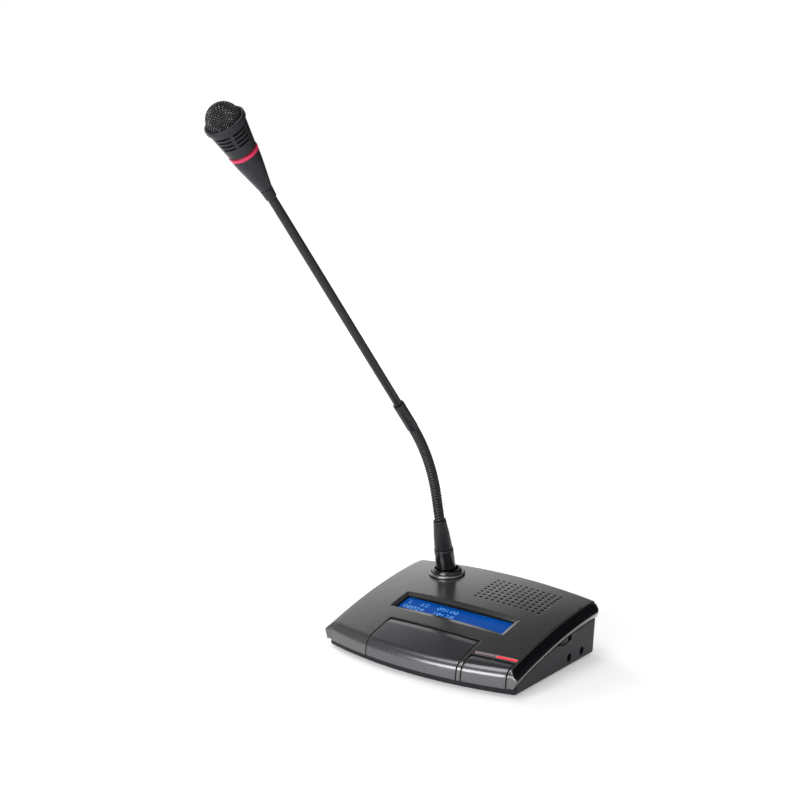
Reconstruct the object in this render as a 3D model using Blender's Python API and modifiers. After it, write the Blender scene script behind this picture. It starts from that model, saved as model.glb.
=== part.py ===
"""A conference delegate unit: a desk case with two keys, a display and a speaker, and a gooseneck microphone.

Metres, +Z up. The origin is the middle of the pad's underside. +X is to the right of the person
who sits at the unit and +Y points away from that person, to the rear.
"""
import math

import bmesh
import bpy
from mathutils import Matrix, Vector

for old in list(bpy.data.objects):
    bpy.data.objects.remove(old, do_unlink=True)

# Clearances that every piece shares
GAP = 0.0003
OVERRUN = 0.004
MERGE_DISTANCE = 0.00001

# The top: three edge heights, two half widths and the bulges of its front and rear edges
HALF_DEPTH = 0.0628
HALF_WIDTH_FRONT = 0.0760
REAR_WIDTH_SHARE = 1.025
HALF_WIDTH_REAR = REAR_WIDTH_SHARE * HALF_WIDTH_FRONT
FRONT_BULGE = 0.01225
REAR_BULGE = 0.0054
HEIGHT_FRONT = 0.0191
HEIGHT_MIDDLE = 0.0341
HEIGHT_REAR = 0.0409
CROWN = 0.0029
COVER_WALL = 0.0025
CREASE_RADIUS = 0.0082
LIP_BOTTOM = 0.0068
COVER_COLUMNS = 12
COVER_ROWS = 7
CREASE_STEPS = 4

# The side trims: a chamfer, a thin edge and an undercut down to the wall
CHAMFER_WIDTH = 0.0071
CHAMFER_DROP = 0.0054
TRIM_EDGE = 0.0012
TRIM_DEPTH = 0.0115
TRIM_STATIONS = 8

# The bottom case and the pad
PAD_THICKNESS = 0.0012
PAD_INSET = 0.0055
CASE_WALL = 0.0025
FLOOR = 0.0020
WALL_OUTSET = 0.0041
LIP_SETBACK = 0.0033
CORNER_SETBACK = 0.0012
REAR_SETBACK = 0.0024
OUTLINE_STEPS = 10

# Case screws, from below into bosses of the cover
SCREW_Y_SHARES = (-0.31847, 0.84395)
SCREW_INSETS = (0.00975, 0.01185)
SCREW_RADIUS = 0.0014
SCREW_LENGTH = 0.0180
SCREW_HEAD_RADIUS = 0.0028
SCREW_HEAD_HEIGHT = 0.0018
SCREW_BOSS_RADIUS = 0.0036
CASE_BOSS_WALL = 0.0010
SPLIT_HEIGHT = 0.0120

# Keys
KEY_WALL = 0.0022
KEY_GAP = 0.0008
SPEAK_LEFT_SHARE = -0.50329
SPEAK_LEFT = SPEAK_LEFT_SHARE * HALF_WIDTH_FRONT
SPEAK_RIGHT_SHARE = 0.50329
SPEAK_RIGHT = SPEAK_RIGHT_SHARE * HALF_WIDTH_FRONT
SPEAK_BACK_SHARE = -0.64490
SPEAK_BACK = SPEAK_BACK_SHARE * HALF_DEPTH
PRIORITY_LEFT_SHARE = 0.55921
PRIORITY_LEFT = PRIORITY_LEFT_SHARE * HALF_WIDTH_FRONT
PRIORITY_RIGHT_SHARE = 0.97632
PRIORITY_RIGHT = PRIORITY_RIGHT_SHARE * HALF_WIDTH_FRONT
PRIORITY_BACK_LEFT_SHARE = -0.90127
PRIORITY_BACK_LEFT = PRIORITY_BACK_LEFT_SHARE * HALF_DEPTH
PRIORITY_BACK_RIGHT_SHARE = -0.82803
PRIORITY_BACK_RIGHT = PRIORITY_BACK_RIGHT_SHARE * HALF_DEPTH
ROD_Y_SHARE = -0.57325
ROD_Y = ROD_Y_SHARE * HALF_DEPTH
ROD_Z = 0.0198
ROD_RADIUS = 0.0011
ROD_OVERHANG = 0.0012
KNUCKLE_RADIUS = 0.0028
KNUCKLE_WIDTH = 0.0036
KNUCKLE_INSET = 0.0060
ARM_THICKNESS = 0.0026
ARM_DROP_SHARE = 0.268
RISER_LENGTH = 0.0040
EAR_THICKNESS = 0.0022
BRACKET_PLATE = 0.0018
BRACKET_BACK_SHARE = -0.47452
BRACKET_BACK = BRACKET_BACK_SHARE * HALF_DEPTH
EAR_BELOW = 0.0028
EAR_FRONT = 0.0032

# Key switches and their board
SWITCH_Y_SHARE = -0.90764
SWITCH_Y = SWITCH_Y_SHARE * HALF_DEPTH
SWITCH_SIDE = 0.0060
SWITCH_HEIGHT = 0.0036
SWITCH_FLOOR = 0.0009
BUTTON_RADIUS = 0.00175
BUTTON_HEIGHT = 0.0044
BUTTON_TRAVEL_ROOM = 0.0012
KEY_BOSS_RADIUS = 0.0025
KEY_BOARD_BOTTOM = 0.0086
KEY_BOARD_THICKNESS = 0.0012
KEY_BOARD_LEFT_SHARE = -0.44737
KEY_BOARD_LEFT = KEY_BOARD_LEFT_SHARE * HALF_WIDTH_FRONT
KEY_BOARD_RIGHT_SHARE = 0.86842
KEY_BOARD_RIGHT = KEY_BOARD_RIGHT_SHARE * HALF_WIDTH_FRONT
KEY_BOARD_FRONT_SHARE = -0.96338
KEY_BOARD_FRONT = KEY_BOARD_FRONT_SHARE * HALF_DEPTH
KEY_BOARD_BACK_SHARE = -0.76433
KEY_BOARD_BACK = KEY_BOARD_BACK_SHARE * HALF_DEPTH
KEY_BOARD_POST_X_SHARES = (-0.36842, 0.71053)
KEY_BOARD_POST_X = [x * HALF_WIDTH_FRONT for x in KEY_BOARD_POST_X_SHARES]

# Indicator behind the second key
INDICATOR_LEFT_SHARE = 0.56316
INDICATOR_LEFT = INDICATOR_LEFT_SHARE * HALF_WIDTH_FRONT
INDICATOR_RIGHT_SHARE = 0.97632
INDICATOR_RIGHT = INDICATOR_RIGHT_SHARE * HALF_WIDTH_FRONT
INDICATOR_Y_LEFT_SHARE = -0.85191
INDICATOR_Y_LEFT = INDICATOR_Y_LEFT_SHARE * HALF_DEPTH
INDICATOR_Y_RIGHT_SHARE = -0.76752
INDICATOR_Y_RIGHT = INDICATOR_Y_RIGHT_SHARE * HALF_DEPTH
INDICATOR_WIDTH = 0.0018
INDICATOR_STEM_LEFT_SHARE = 0.69737
INDICATOR_STEM_LEFT = INDICATOR_STEM_LEFT_SHARE * HALF_WIDTH_FRONT
INDICATOR_STEM_RIGHT_SHARE = 0.81579
INDICATOR_STEM_RIGHT = INDICATOR_STEM_RIGHT_SHARE * HALF_WIDTH_FRONT
INDICATOR_STEM_THICKNESS = 0.0014

# Display: a sloping recess in the cover, a lens, the panel in its frame and the board
DISPLAY_Y_SHARE = -0.21178
DISPLAY_Y = DISPLAY_Y_SHARE * HALF_DEPTH
DISPLAY_HALF_X_SHARE = 0.67500
DISPLAY_HALF_X = DISPLAY_HALF_X_SHARE * HALF_WIDTH_FRONT
DISPLAY_HALF_Y_SHARE = 0.23726
DISPLAY_HALF_Y = DISPLAY_HALF_Y_SHARE * HALF_DEPTH
WINDOW_HALF_X_SHARE = 0.61447
WINDOW_HALF_X = WINDOW_HALF_X_SHARE * HALF_WIDTH_FRONT
WINDOW_HALF_Y_SHARE = 0.15287
WINDOW_HALF_Y = WINDOW_HALF_Y_SHARE * HALF_DEPTH
WINDOW_DEPTH = 0.0036
RECESS_WALL = 0.0018
LENS_MARGIN = 0.0021
LENS_THICKNESS = 0.0012
FRAME_MARGIN_X = 0.0024
FRAME_MARGIN_Y = 0.0036
FRAME_RIM = 0.0016
FRAME_HEIGHT = 0.0032
PANEL_THICKNESS = 0.0022
DISPLAY_BOARD_HALF_X_SHARE = 0.73026
DISPLAY_BOARD_HALF_X = DISPLAY_BOARD_HALF_X_SHARE * HALF_WIDTH_FRONT
DISPLAY_BOARD_HALF_Y_SHARE = 0.24682
DISPLAY_BOARD_HALF_Y = DISPLAY_BOARD_HALF_Y_SHARE * HALF_DEPTH
DISPLAY_BOARD_THICKNESS = 0.0016
DISPLAY_POST_X_SHARE = 0.69079
DISPLAY_POST_X = DISPLAY_POST_X_SHARE * HALF_WIDTH_FRONT
DISPLAY_POST_Y_SHARE = 0.19904
DISPLAY_POST_Y = DISPLAY_POST_Y_SHARE * HALF_DEPTH
DISPLAY_POST_RADIUS = 0.0022

# Speaker and its grille of round holes
SPEAKER_X_SHARE = 0.37763
SPEAKER_X = SPEAKER_X_SHARE * HALF_WIDTH_FRONT
SPEAKER_Y_SHARE = 0.53185
SPEAKER_Y = SPEAKER_Y_SHARE * HALF_DEPTH
GRILLE_PITCH = 0.0050
GRILLE_COLUMNS = 12
GRILLE_ROWS = 8
GRILLE_HOLE_RADIUS = 0.00095
SPEAKER_RADIUS_SHARE = 0.40605
SPEAKER_RADIUS = SPEAKER_RADIUS_SHARE * HALF_DEPTH
SPEAKER_FLANGE = 0.0032
SPEAKER_FLANGE_THICKNESS = 0.0011
SPEAKER_DEPTH = 0.0100
SPEAKER_SHEET = 0.0009
BASKET_FOOT_RADIUS = 0.0150
BASKET_HOLE_RADIUS = 0.0080
MAGNET_RADIUS = 0.0140
MAGNET_HEIGHT = 0.0075
CONE_SHEET = 0.0005
DUST_CAP_RADIUS = 0.0075
DUST_CAP_RISE = 0.0025
DUST_CAP_SHOULDER_SHARES = (0.7, 0.6)

# Boards and what is on them
BOARD_THICKNESS = 0.0016
MAIN_BOARD_BOTTOM = 0.0080
MAIN_BOARD_LEFT_SHARE = -0.85263
MAIN_BOARD_LEFT = MAIN_BOARD_LEFT_SHARE * HALF_WIDTH_FRONT
MAIN_BOARD_FRONT_SHARE = -0.38217
MAIN_BOARD_FRONT = MAIN_BOARD_FRONT_SHARE * HALF_DEPTH
MAIN_BOARD_BACK_SHARE = 0.89172
MAIN_BOARD_BACK = MAIN_BOARD_BACK_SHARE * HALF_DEPTH
POST_RADIUS = 0.0026
POST_INSET = 0.0060
SIDE_BOARD_THICKNESS = 0.0014
SIDE_BOARD_TO_WHEEL = 0.0010
SIDE_BOARD_FRONT_SHARE = 0.01592
SIDE_BOARD_FRONT = SIDE_BOARD_FRONT_SHARE * HALF_DEPTH
SIDE_BOARD_BACK_SHARE = 0.74841
SIDE_BOARD_BACK = SIDE_BOARD_BACK_SHARE * HALF_DEPTH
SIDE_BOARD_TOP = 0.0285

# Volume wheel in its scoop, its potentiometer and the two headphone sockets
WHEEL_Y_SHARE = 0.18312
WHEEL_Y = WHEEL_Y_SHARE * HALF_DEPTH
WHEEL_Z = 0.0243
WHEEL_RADIUS = 0.0097
WHEEL_KNURL_DEPTH = 0.0004
WHEEL_KNURLS = 36
WHEEL_THICKNESS = 0.0040
WHEEL_PROUD = 0.0013
WHEEL_SLOT_ROOM = 0.0006
SCOOP_HALF_LENGTH = 0.0112
SCOOP_HALF_HEIGHT = 0.0047
SCOOP_DEPTH = 0.0015
SCOOP_REACH = 0.0030
SHAFT_RADIUS = 0.0015
SHAFT_LENGTH = 0.0045
POT_HALF_Y = 0.0078
POT_HEIGHT = 0.0064
JACK_Y_SHARES = (0.32484, 0.64013)
JACK_Y = [y * HALF_DEPTH for y in JACK_Y_SHARES]
JACK_Z = 0.0082
JACK_MOUTH_RADIUS = 0.0032
JACK_MOUTH_DEPTH = 0.0032
JACK_BORE_RADIUS = 0.00175
JACK_BORE_DEPTH = 0.0120
JACK_HALF_WIDTH = 0.0037
JACK_HALF_HEIGHT = 0.0036

# Two round sockets for the cables to the neighbouring units, in the rear wall
TRUNK_X_SHARES = (-0.17105, 0.17105)
TRUNK_X = [x * HALF_WIDTH_FRONT for x in TRUNK_X_SHARES]
TRUNK_RADIUS = 0.0068
TRUNK_WALL = 0.0009
TRUNK_FLANGE_RADIUS = 0.0084
TRUNK_LENGTH = 0.0140
TRUNK_BORE_DEPTH = 0.0095

# Microphone socket
MIC_X_SHARE = -0.54605
MIC_X = MIC_X_SHARE * HALF_WIDTH_FRONT
MIC_Y_SHARE = 0.68790
MIC_Y = MIC_Y_SHARE * HALF_DEPTH
RING_RADIUS = 0.01435
RING_INNER_RADIUS = 0.0124
RING_NECK_RADIUS = 0.0130
RING_HEIGHT = 0.0021
COLLAR_HEIGHT = 0.0048
COLLAR_HOLE_RADIUS = 0.0095
COLLAR_TOP_WALL = 0.0010
SOCKET_FLANGE_RADIUS = 0.0121
SOCKET_TOP = -0.0053
SOCKET_LENGTH = 0.0150
SOCKET_RADIUS = 0.0106
SOCKET_BORE_RADIUS = 0.0072
SOCKET_FLANGE_THICKNESS = 0.0020
PLUG_RADIUS = 0.0068
PLUG_LENGTH = 0.0120

# The arm: lengths along it from the top of the case, its leans and its heading
ARM_HEADING_DEG = 10.0
LEAN_LOW_DEG = 15.4
LEAN_HIGH_DEG = 41.0
SLEEVE_RADIUS = 0.0077
SLEEVE_BELOW = 0.0035
SLEEVE_TOP = 0.0228
SLEEVE_GROOVE = 0.0008
SLEEVE_GROOVE_DEPTH = 0.0006
BOOT_LENGTH = 0.0247
FLEX_START = SLEEVE_TOP + BOOT_LENGTH
BOOT_TOP_RADIUS = 0.0051
STRAIGHT_LENGTH = 0.0202
BEND_START = FLEX_START + STRAIGHT_LENGTH
BEND_LENGTH = 0.0671
FLEX_END = BEND_START + BEND_LENGTH
FLEX_RADIUS = 0.0041
FLEX_VALLEY_RADIUS = 0.0033
FLEX_BORE_RADIUS = 0.0019
FLEX_JOINTS = 8
FLEX_JOINT_GAP = 0.0008
RIBS_PER_PIECE = 4
COUPLING_LENGTH = 0.0267
COUPLING_END = FLEX_END + COUPLING_LENGTH
COUPLING_RADIUS = 0.0044
ROD_TUBE_RADIUS = 0.0032
ROD_BORE_RADIUS = 0.0022
ROD_LENGTH = 0.2043
FERRULE_START = COUPLING_END + ROD_LENGTH
FERRULE_LENGTH = 0.0085
FERRULE_END = FERRULE_START + FERRULE_LENGTH
FERRULE_RADIUS = 0.0045

# The head, from its lower shell to the ball
SHELL_CONE_LENGTH = 0.0157
HEAD_SHELL_MIDDLE = FERRULE_END + SHELL_CONE_LENGTH
HEAD_SHELL_MIDDLE_RADIUS = 0.0076
HEAD_WALL = 0.0013
SHELL_FLARE_LENGTH = 0.0138
LIGHT_START = HEAD_SHELL_MIDDLE + SHELL_FLARE_LENGTH
LIGHT_LENGTH = 0.0034
LIGHT_END = LIGHT_START + LIGHT_LENGTH
LIGHT_RADIUS = 0.0105
HEAD_RADIUS_AT_LIGHT = 0.0100
HEAD_BODY_LENGTH = 0.0212
COLLAR_START = LIGHT_END + HEAD_BODY_LENGTH
HEAD_COLLAR_LENGTH = 0.0036
COLLAR_END = COLLAR_START + HEAD_COLLAR_LENGTH
HEAD_RADIUS_AT_COLLAR = 0.0133
HEAD_COLLAR_RADIUS = 0.0143
BALL_RADIUS = 0.0120
BALL_SHEET = 0.0006
BALL_STEPS = 5
SLOT_ROWS = 4
SLOTS_PER_ROW = 6
SLOT_FILL_SHARE = 0.80
SLOT_TURN_DEG = -10.0
SLOT_HEIGHT = 0.0014
SLOT_ROW_PITCH = 0.0031
SLOT_BELOW_COLLAR = 0.0030
CAPSULE_RADIUS = 0.0048
CAPSULE_LENGTH = 0.0066
CAPSULE_RISE = 0.0015
CAPSULE_TOP = COLLAR_END + CAPSULE_RISE
CAPSULE_MOUNT_HEIGHT = 0.0024
CABLE_RADIUS = 0.0019
CABLE_BELOW_COLLAR = 0.0077
CABLE_END = COLLAR_START - CABLE_BELOW_COLLAR

# Counts of sides
SMALL_SIDES = 10
ARM_SIDES = 12
HEAD_SIDES = 24
SPEAKER_SIDES = 20

CASE_BOTTOM = PAD_THICKNESS + GAP
FLOOR_TOP = CASE_BOTTOM + FLOOR

parts = bpy.data.collections.new("conference_delegate_unit")
cutters = bpy.data.collections.new("cutters")
bpy.context.scene.collection.children.link(parts)
bpy.context.scene.collection.children.link(cutters)


def material(name, colour, roughness, metallic=0.0, alpha=1.0):
    made = bpy.data.materials.new(name)
    made.use_nodes = True
    shader = made.node_tree.nodes["Principled BSDF"]
    shader.inputs["Base Color"].default_value = (*colour, 1.0)
    shader.inputs["Roughness"].default_value = roughness
    shader.inputs["Metallic"].default_value = metallic
    shader.inputs["Alpha"].default_value = alpha
    return made


GUNMETAL = material("gunmetal_paint", (0.10, 0.10, 0.097), 0.35, 0.6)
BLACK_GLOSS = material("black_gloss", (0.012, 0.012, 0.015), 0.15)
CASE_DARK = material("dark_case", (0.030, 0.030, 0.042), 0.5)
KEY_GREY = material("key_grey", (0.055, 0.052, 0.060), 0.4)
RUBBER = material("rubber", (0.015, 0.015, 0.015), 0.9)
STEEL = material("steel", (0.55, 0.55, 0.56), 0.3, 1.0)
BOARD_GREEN = material("board_green", (0.02, 0.16, 0.06), 0.5)
WHITE_PLASTIC = material("white_plastic", (0.75, 0.75, 0.72), 0.5)
CLEAR = material("clear_lens", (0.8, 0.85, 0.9), 0.05, 0.0, 0.3)
PANEL_BLUE = material("panel_blue", (0.004, 0.06, 0.40), 0.2)
LIGHT_RED = material("light_red", (0.80, 0.03, 0.10), 0.3)
CONE_BLACK = material("cone_paper", (0.02, 0.02, 0.02), 0.8)
ARM_BLACK = material("arm_black", (0.022, 0.022, 0.026), 0.4)
MESH_BLACK = material("mesh_black", (0.008, 0.008, 0.008), 0.5, 0.5)


def place_object(name, mesh, matrix, look):
    """Put a mesh in the parts, or in the cutters where it has no material."""
    made = bpy.data.objects.new(name, mesh)
    made.matrix_world = matrix
    if look is None:
        cutters.objects.link(made)
        made.hide_render = True
        made.display_type = "WIRE"
    else:
        parts.objects.link(made)
        made.data.materials.append(look)
    return made


def finish_mesh(name, shape):
    mesh = bpy.data.meshes.new(name)
    shape.to_mesh(mesh)
    shape.free()
    return mesh


def hexahedron(name, place, look=None, matrix=Matrix.Identity(4)):
    """A cube whose corners are moved: place gets the three signs of a corner."""
    shape = bmesh.new()
    bmesh.ops.create_cube(shape, size=2.0)
    for corner in shape.verts:
        signs = [round(value) for value in corner.co]
        corner.co = Vector(place(*signs))
    return place_object(name, finish_mesh(name, shape), matrix, look)


def box(name, low, high, look=None, matrix=Matrix.Identity(4)):
    def corner(sx, sy, sz):
        return [high[i] if sign > 0 else low[i] for i, sign in enumerate((sx, sy, sz))]
    return hexahedron(name, corner, look, matrix)


def cylinder(name, radius, low, high, look=None, matrix=Matrix.Identity(4), sides=SMALL_SIDES):
    """A cylinder along its own Z, from low to high."""
    shape = bmesh.new()
    bmesh.ops.create_cone(shape, cap_ends=True, segments=sides, radius1=radius, radius2=radius,
                          depth=high - low, matrix=Matrix.Translation((0, 0, (low + high) / 2)))
    return place_object(name, finish_mesh(name, shape), matrix, look)


def turned(name, profile, look=None, matrix=Matrix.Identity(4), sides=SMALL_SIDES, closed=True):
    """A Screw round Z: the profile of (radius, height) runs down its outer side first."""
    shape = bmesh.new()
    corners = [shape.verts.new((radius, 0, height)) for radius, height in profile]
    for first, second in zip(corners, corners[1:]):
        shape.edges.new((first, second))
    if closed:
        shape.edges.new((corners[-1], corners[0]))
    made = place_object(name, finish_mesh(name, shape), matrix, look)
    screw = made.modifiers.new("turn", "SCREW")
    screw.axis = "Z"
    screw.steps = sides
    screw.render_steps = sides
    screw.use_merge_vertices = True
    screw.merge_threshold = MERGE_DISTANCE
    screw.use_smooth_shade = True
    return made


def prism(name, outline, low, high, look=None, matrix=Matrix.Identity(4)):
    """A flat outline with the thickness from low to high."""
    flat = bpy.data.curves.new(name + "_outline", "CURVE")
    flat.dimensions = "2D"
    flat.fill_mode = "BOTH"
    flat.extrude = (high - low) / 2
    line = flat.splines.new("POLY")
    line.points.add(len(outline) - 1)
    for point, (x, y) in zip(line.points, outline):
        point.co = (x, y, 0, 1)
    line.use_cyclic_u = True
    guide = bpy.data.objects.new(name + "_guide", flat)
    cutters.objects.link(guide)
    bpy.context.view_layer.update()
    graph = bpy.context.evaluated_depsgraph_get()
    mesh = bpy.data.meshes.new_from_object(guide.evaluated_get(graph))
    bpy.data.objects.remove(guide, do_unlink=True)
    shape = bmesh.new()
    shape.from_mesh(mesh)
    bmesh.ops.remove_doubles(shape, verts=shape.verts, dist=MERGE_DISTANCE)
    bmesh.ops.translate(shape, verts=shape.verts, vec=(0, 0, (low + high) / 2))
    bmesh.ops.recalc_face_normals(shape, faces=shape.faces)
    return place_object(name, finish_mesh(name, shape), matrix, look)


def loft(name, rings, look=None):
    """Rings of as many points each, joined in order and closed by the first and the last."""
    shape = bmesh.new()
    loops = [[shape.verts.new(point) for point in ring] for ring in rings]
    for first, second in zip(loops, loops[1:]):
        for i in range(len(first)):
            j = (i + 1) % len(first)
            shape.faces.new((first[i], first[j], second[j], second[i]))
    shape.faces.new(loops[0])
    shape.faces.new(loops[-1])
    bmesh.ops.recalc_face_normals(shape, faces=shape.faces)
    return place_object(name, finish_mesh(name, shape), Matrix.Identity(4), look)


def boolean(target, other, operation):
    change = target.modifiers.new(other.name, "BOOLEAN")
    change.operation = operation
    change.solver = "EXACT"
    change.object = other


def cut(target, *others):
    for other in others:
        boolean(target, other, "DIFFERENCE")


def join(target, *others):
    for other in others:
        boolean(target, other, "UNION")


def depth_share(y):
    return y / HALF_DEPTH


def half_width(y):
    """Half the width of the top, which grows a little towards the rear."""
    middle = (HALF_WIDTH_FRONT + HALF_WIDTH_REAR) / 2
    return middle + (HALF_WIDTH_REAR - HALF_WIDTH_FRONT) / 2 * depth_share(y)


def edge_height(y):
    """The parabola through the heights of the top's side edge."""
    share = depth_share(y)
    rise = (HEIGHT_REAR - HEIGHT_FRONT) / 2
    sag = (HEIGHT_REAR + HEIGHT_FRONT) / 2 - HEIGHT_MIDDLE
    return HEIGHT_MIDDLE + rise * share + sag * share ** 2


def top_height(x, y):
    return edge_height(y) + CROWN * (1 - (x / half_width(y)) ** 2)


def front_edge(x):
    return -HALF_DEPTH - FRONT_BULGE * (1 - (x / HALF_WIDTH_FRONT) ** 2)


def rear_edge(x):
    return HALF_DEPTH + REAR_BULGE * (1 - (x / HALF_WIDTH_REAR) ** 2)


def slope_along(x, y, dx, dy):
    step = HALF_DEPTH / 1000
    rise = top_height(x + dx * step, y + dy * step) - top_height(x - dx * step, y - dy * step)
    return rise / (2 * step)


def surface_frame(x, y):
    """A frame on the top: its Z is the surface's normal and its X runs along +X."""
    normal = Vector((-slope_along(x, y, 1, 0), -slope_along(x, y, 0, 1), 1)).normalized()
    across = Vector((1, 0, slope_along(x, y, 1, 0))).normalized()
    back = normal.cross(across)
    frame = Matrix((across, back, normal)).transposed().to_4x4()
    frame.translation = (x, y, top_height(x, y))
    return frame


def sag_within(frame, radius):
    """How far the top falls below a frame's plane on a circle round its origin."""
    falls = []
    for step in range(SPEAKER_SIDES):
        angle = 2 * math.pi * step / SPEAKER_SIDES
        spot = frame @ Vector((radius * math.cos(angle), radius * math.sin(angle), 0))
        falls.append(spot.z - top_height(spot.x, spot.y))
    return max(falls)


def skin_column(x_at, back):
    """Points up the lip, round the crease and along the top to the line at y = back."""
    x_front = x_at(-HALF_DEPTH)
    edge = front_edge(x_front)
    lean = math.atan(slope_along(x_front, edge + CREASE_RADIUS, 0, 1))
    start = edge + CREASE_RADIUS * (1 - math.sin(lean))
    height = top_height(x_front, start)
    points = [(x_front, edge, LIP_BOTTOM)]
    for step in range(CREASE_STEPS + 1):
        turn = math.pi / 2 + (lean - math.pi / 2) * step / CREASE_STEPS
        y = start - CREASE_RADIUS * (math.sin(turn) - math.sin(lean))
        points.append((x_front, y, height - CREASE_RADIUS * (math.cos(lean) - math.cos(turn))))
    return points, start, back


def skin(name, x_lines, back_at, rows, wall, look):
    """A shell of the top's surface between lines of x, as a grid with Solidify."""
    columns = []
    for x_at in x_lines:
        back = back_at(x_at(-HALF_DEPTH))
        points, start, back = skin_column(x_at, back)
        for row in range(1, rows + 1):
            y = start + (back - start) * row / rows
            points.append((x_at(y), y, top_height(x_at(y), y)))
        columns.append(points)
    shape = bmesh.new()
    across = len(columns) - 1
    along = len(columns[0]) - 1
    bmesh.ops.create_grid(shape, x_segments=across, y_segments=along, size=1.0)
    for corner in shape.verts:
        i = round((corner.co.x + 1) / 2 * across)
        j = round((corner.co.y + 1) / 2 * along)
        corner.co = columns[i][j]
    made = place_object(name, finish_mesh(name, shape), Matrix.Identity(4), look)
    shell = made.modifiers.new("wall", "SOLIDIFY")
    shell.thickness = wall
    shell.offset = -1
    shell.use_even_offset = True
    return made


def lines_between(left, right, count):
    """Lines of constant x from left to right."""
    return [lambda y, x=left + (right - left) * i / count: x for i in range(count + 1)]


def priority_back(x):
    share = (x - PRIORITY_LEFT) / (PRIORITY_RIGHT - PRIORITY_LEFT)
    return PRIORITY_BACK_LEFT + (PRIORITY_BACK_RIGHT - PRIORITY_BACK_LEFT) * share


def speak_back(x):
    return SPEAK_BACK


def indicator_y(x):
    share = (x - INDICATOR_LEFT) / (INDICATOR_RIGHT - INDICATOR_LEFT)
    return INDICATOR_Y_LEFT + (INDICATOR_Y_RIGHT - INDICATOR_Y_LEFT) * share


def case_outline(inset):
    """The case's plan, drawn in by an inset: two side walls between a front and a rear arc.

    The front arc keeps its distance from the lip, so that the keys clear the wall when pressed."""
    shares = [-1 + 2 * i / OUTLINE_STEPS for i in range(OUTLINE_STEPS + 1)]
    front_half = half_width(-HALF_DEPTH) + WALL_OUTSET - inset
    rear_half = half_width(HALF_DEPTH) + WALL_OUTSET - inset
    front = -HALF_DEPTH + LIP_SETBACK + inset
    rear = HALF_DEPTH - REAR_SETBACK - inset
    arc_half = HALF_WIDTH_FRONT - inset
    points = [(-front_half, front + CORNER_SETBACK)]
    points += [(arc_half * s, front - FRONT_BULGE * (1 - s * s)) for s in shares]
    points.append((front_half, front + CORNER_SETBACK))
    points += [(rear_half * s, rear + REAR_BULGE * (1 - s * s)) for s in reversed(shares)]
    return points


def wall_x(y):
    """The outer face of the case's right side wall."""
    return half_width(y) + WALL_OUTSET


screw_places = [(side * (wall_x(share * HALF_DEPTH) - inset), share * HALF_DEPTH)
                for share, inset in zip(SCREW_Y_SHARES, SCREW_INSETS) for side in (-1, 1)]
wheel_x = wall_x(WHEEL_Y) + WHEEL_PROUD - WHEEL_RADIUS
side_board_right = wheel_x - WHEEL_RADIUS - SIDE_BOARD_TO_WHEEL
side_board_left = side_board_right - SIDE_BOARD_THICKNESS
main_board_right = side_board_left - GAP


def rear_wall_y(x):
    share = x / (half_width(HALF_DEPTH) + WALL_OUTSET)
    return HALF_DEPTH - REAR_SETBACK + REAR_BULGE * (1 - share ** 2)


def above_top(name, drop, left, right):
    """Everything above the top's surface lowered by drop, as a cutter."""
    shape = bmesh.new()
    bmesh.ops.create_grid(shape, x_segments=COVER_COLUMNS, y_segments=COVER_ROWS, size=1.0)
    reach = HALF_DEPTH + FRONT_BULGE + OVERRUN
    for corner in shape.verts:
        y = corner.co.y * reach
        x = left + (right - left) * (corner.co.x + 1) / 2
        corner.co = (x, y, top_height(x, y) - drop)
    lid = bmesh.ops.extrude_face_region(shape, geom=shape.faces[:])
    for item in lid["geom"]:
        if isinstance(item, bmesh.types.BMVert):
            item.co.z = HEIGHT_REAR + CROWN + OVERRUN
    bmesh.ops.recalc_face_normals(shape, faces=shape.faces)
    return place_object(name, finish_mesh(name, shape), Matrix.Identity(4), None)


def along_x(x, y, z):
    """A frame whose Z points along +X."""
    return Matrix.Translation((x, y, z)) @ Matrix.Rotation(math.pi / 2, 4, "Y")


def along_y(x, y, z):
    """A frame whose Z points along +Y."""
    return Matrix.Translation((x, y, z)) @ Matrix.Rotation(-math.pi / 2, 4, "X")


def arm_frame(distance):
    """The frame on the arm at a distance from the case's top: its Z runs along the arm."""
    heading = math.radians(ARM_HEADING_DEG)
    forward = Vector((-math.sin(heading), -math.cos(heading), 0))
    up = Vector((0, 0, 1))
    low = math.radians(LEAN_LOW_DEG)
    high = math.radians(LEAN_HIGH_DEG)
    radius = (FLEX_END - BEND_START) / (high - low)
    place = Vector((MIC_X, MIC_Y, top_height(MIC_X, MIC_Y)))
    straight = min(distance, BEND_START)
    place += straight * (forward * math.sin(low) + up * math.cos(low))
    bent = min(max(distance - BEND_START, 0), FLEX_END - BEND_START)
    lean = low + bent / radius
    place += radius * (forward * (math.cos(low) - math.cos(lean)) + up * (math.sin(lean) - math.sin(low)))
    rest = max(distance - FLEX_END, 0)
    along = forward * math.sin(lean) + up * math.cos(lean)
    place += rest * along
    across = forward.cross(up).normalized()
    frame = Matrix((across, along.cross(across), along)).transposed().to_4x4()
    frame.translation = place
    return frame


def arm_piece(name, profile, look, sides=ARM_SIDES, closed=True):
    """A turned piece on the arm: heights of its profile are distances along the arm."""
    origin = profile[0][1]
    local = [(radius, distance - origin) for radius, distance in profile]
    return turned(name, local, look, arm_frame(origin), sides, closed)


# Cover: the skin, a recess for the display, posts and bosses, then the openings
cover_lines = []
for i in range(COVER_COLUMNS + 1):
    cover_lines.append(lambda y, share=-1 + 2 * i / COVER_COLUMNS: share * half_width(y))
cover = skin("top_cover", cover_lines, rear_edge, COVER_ROWS, COVER_WALL, GUNMETAL)

display = surface_frame(0, DISPLAY_Y)
funnel_bottom = -WINDOW_DEPTH


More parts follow.
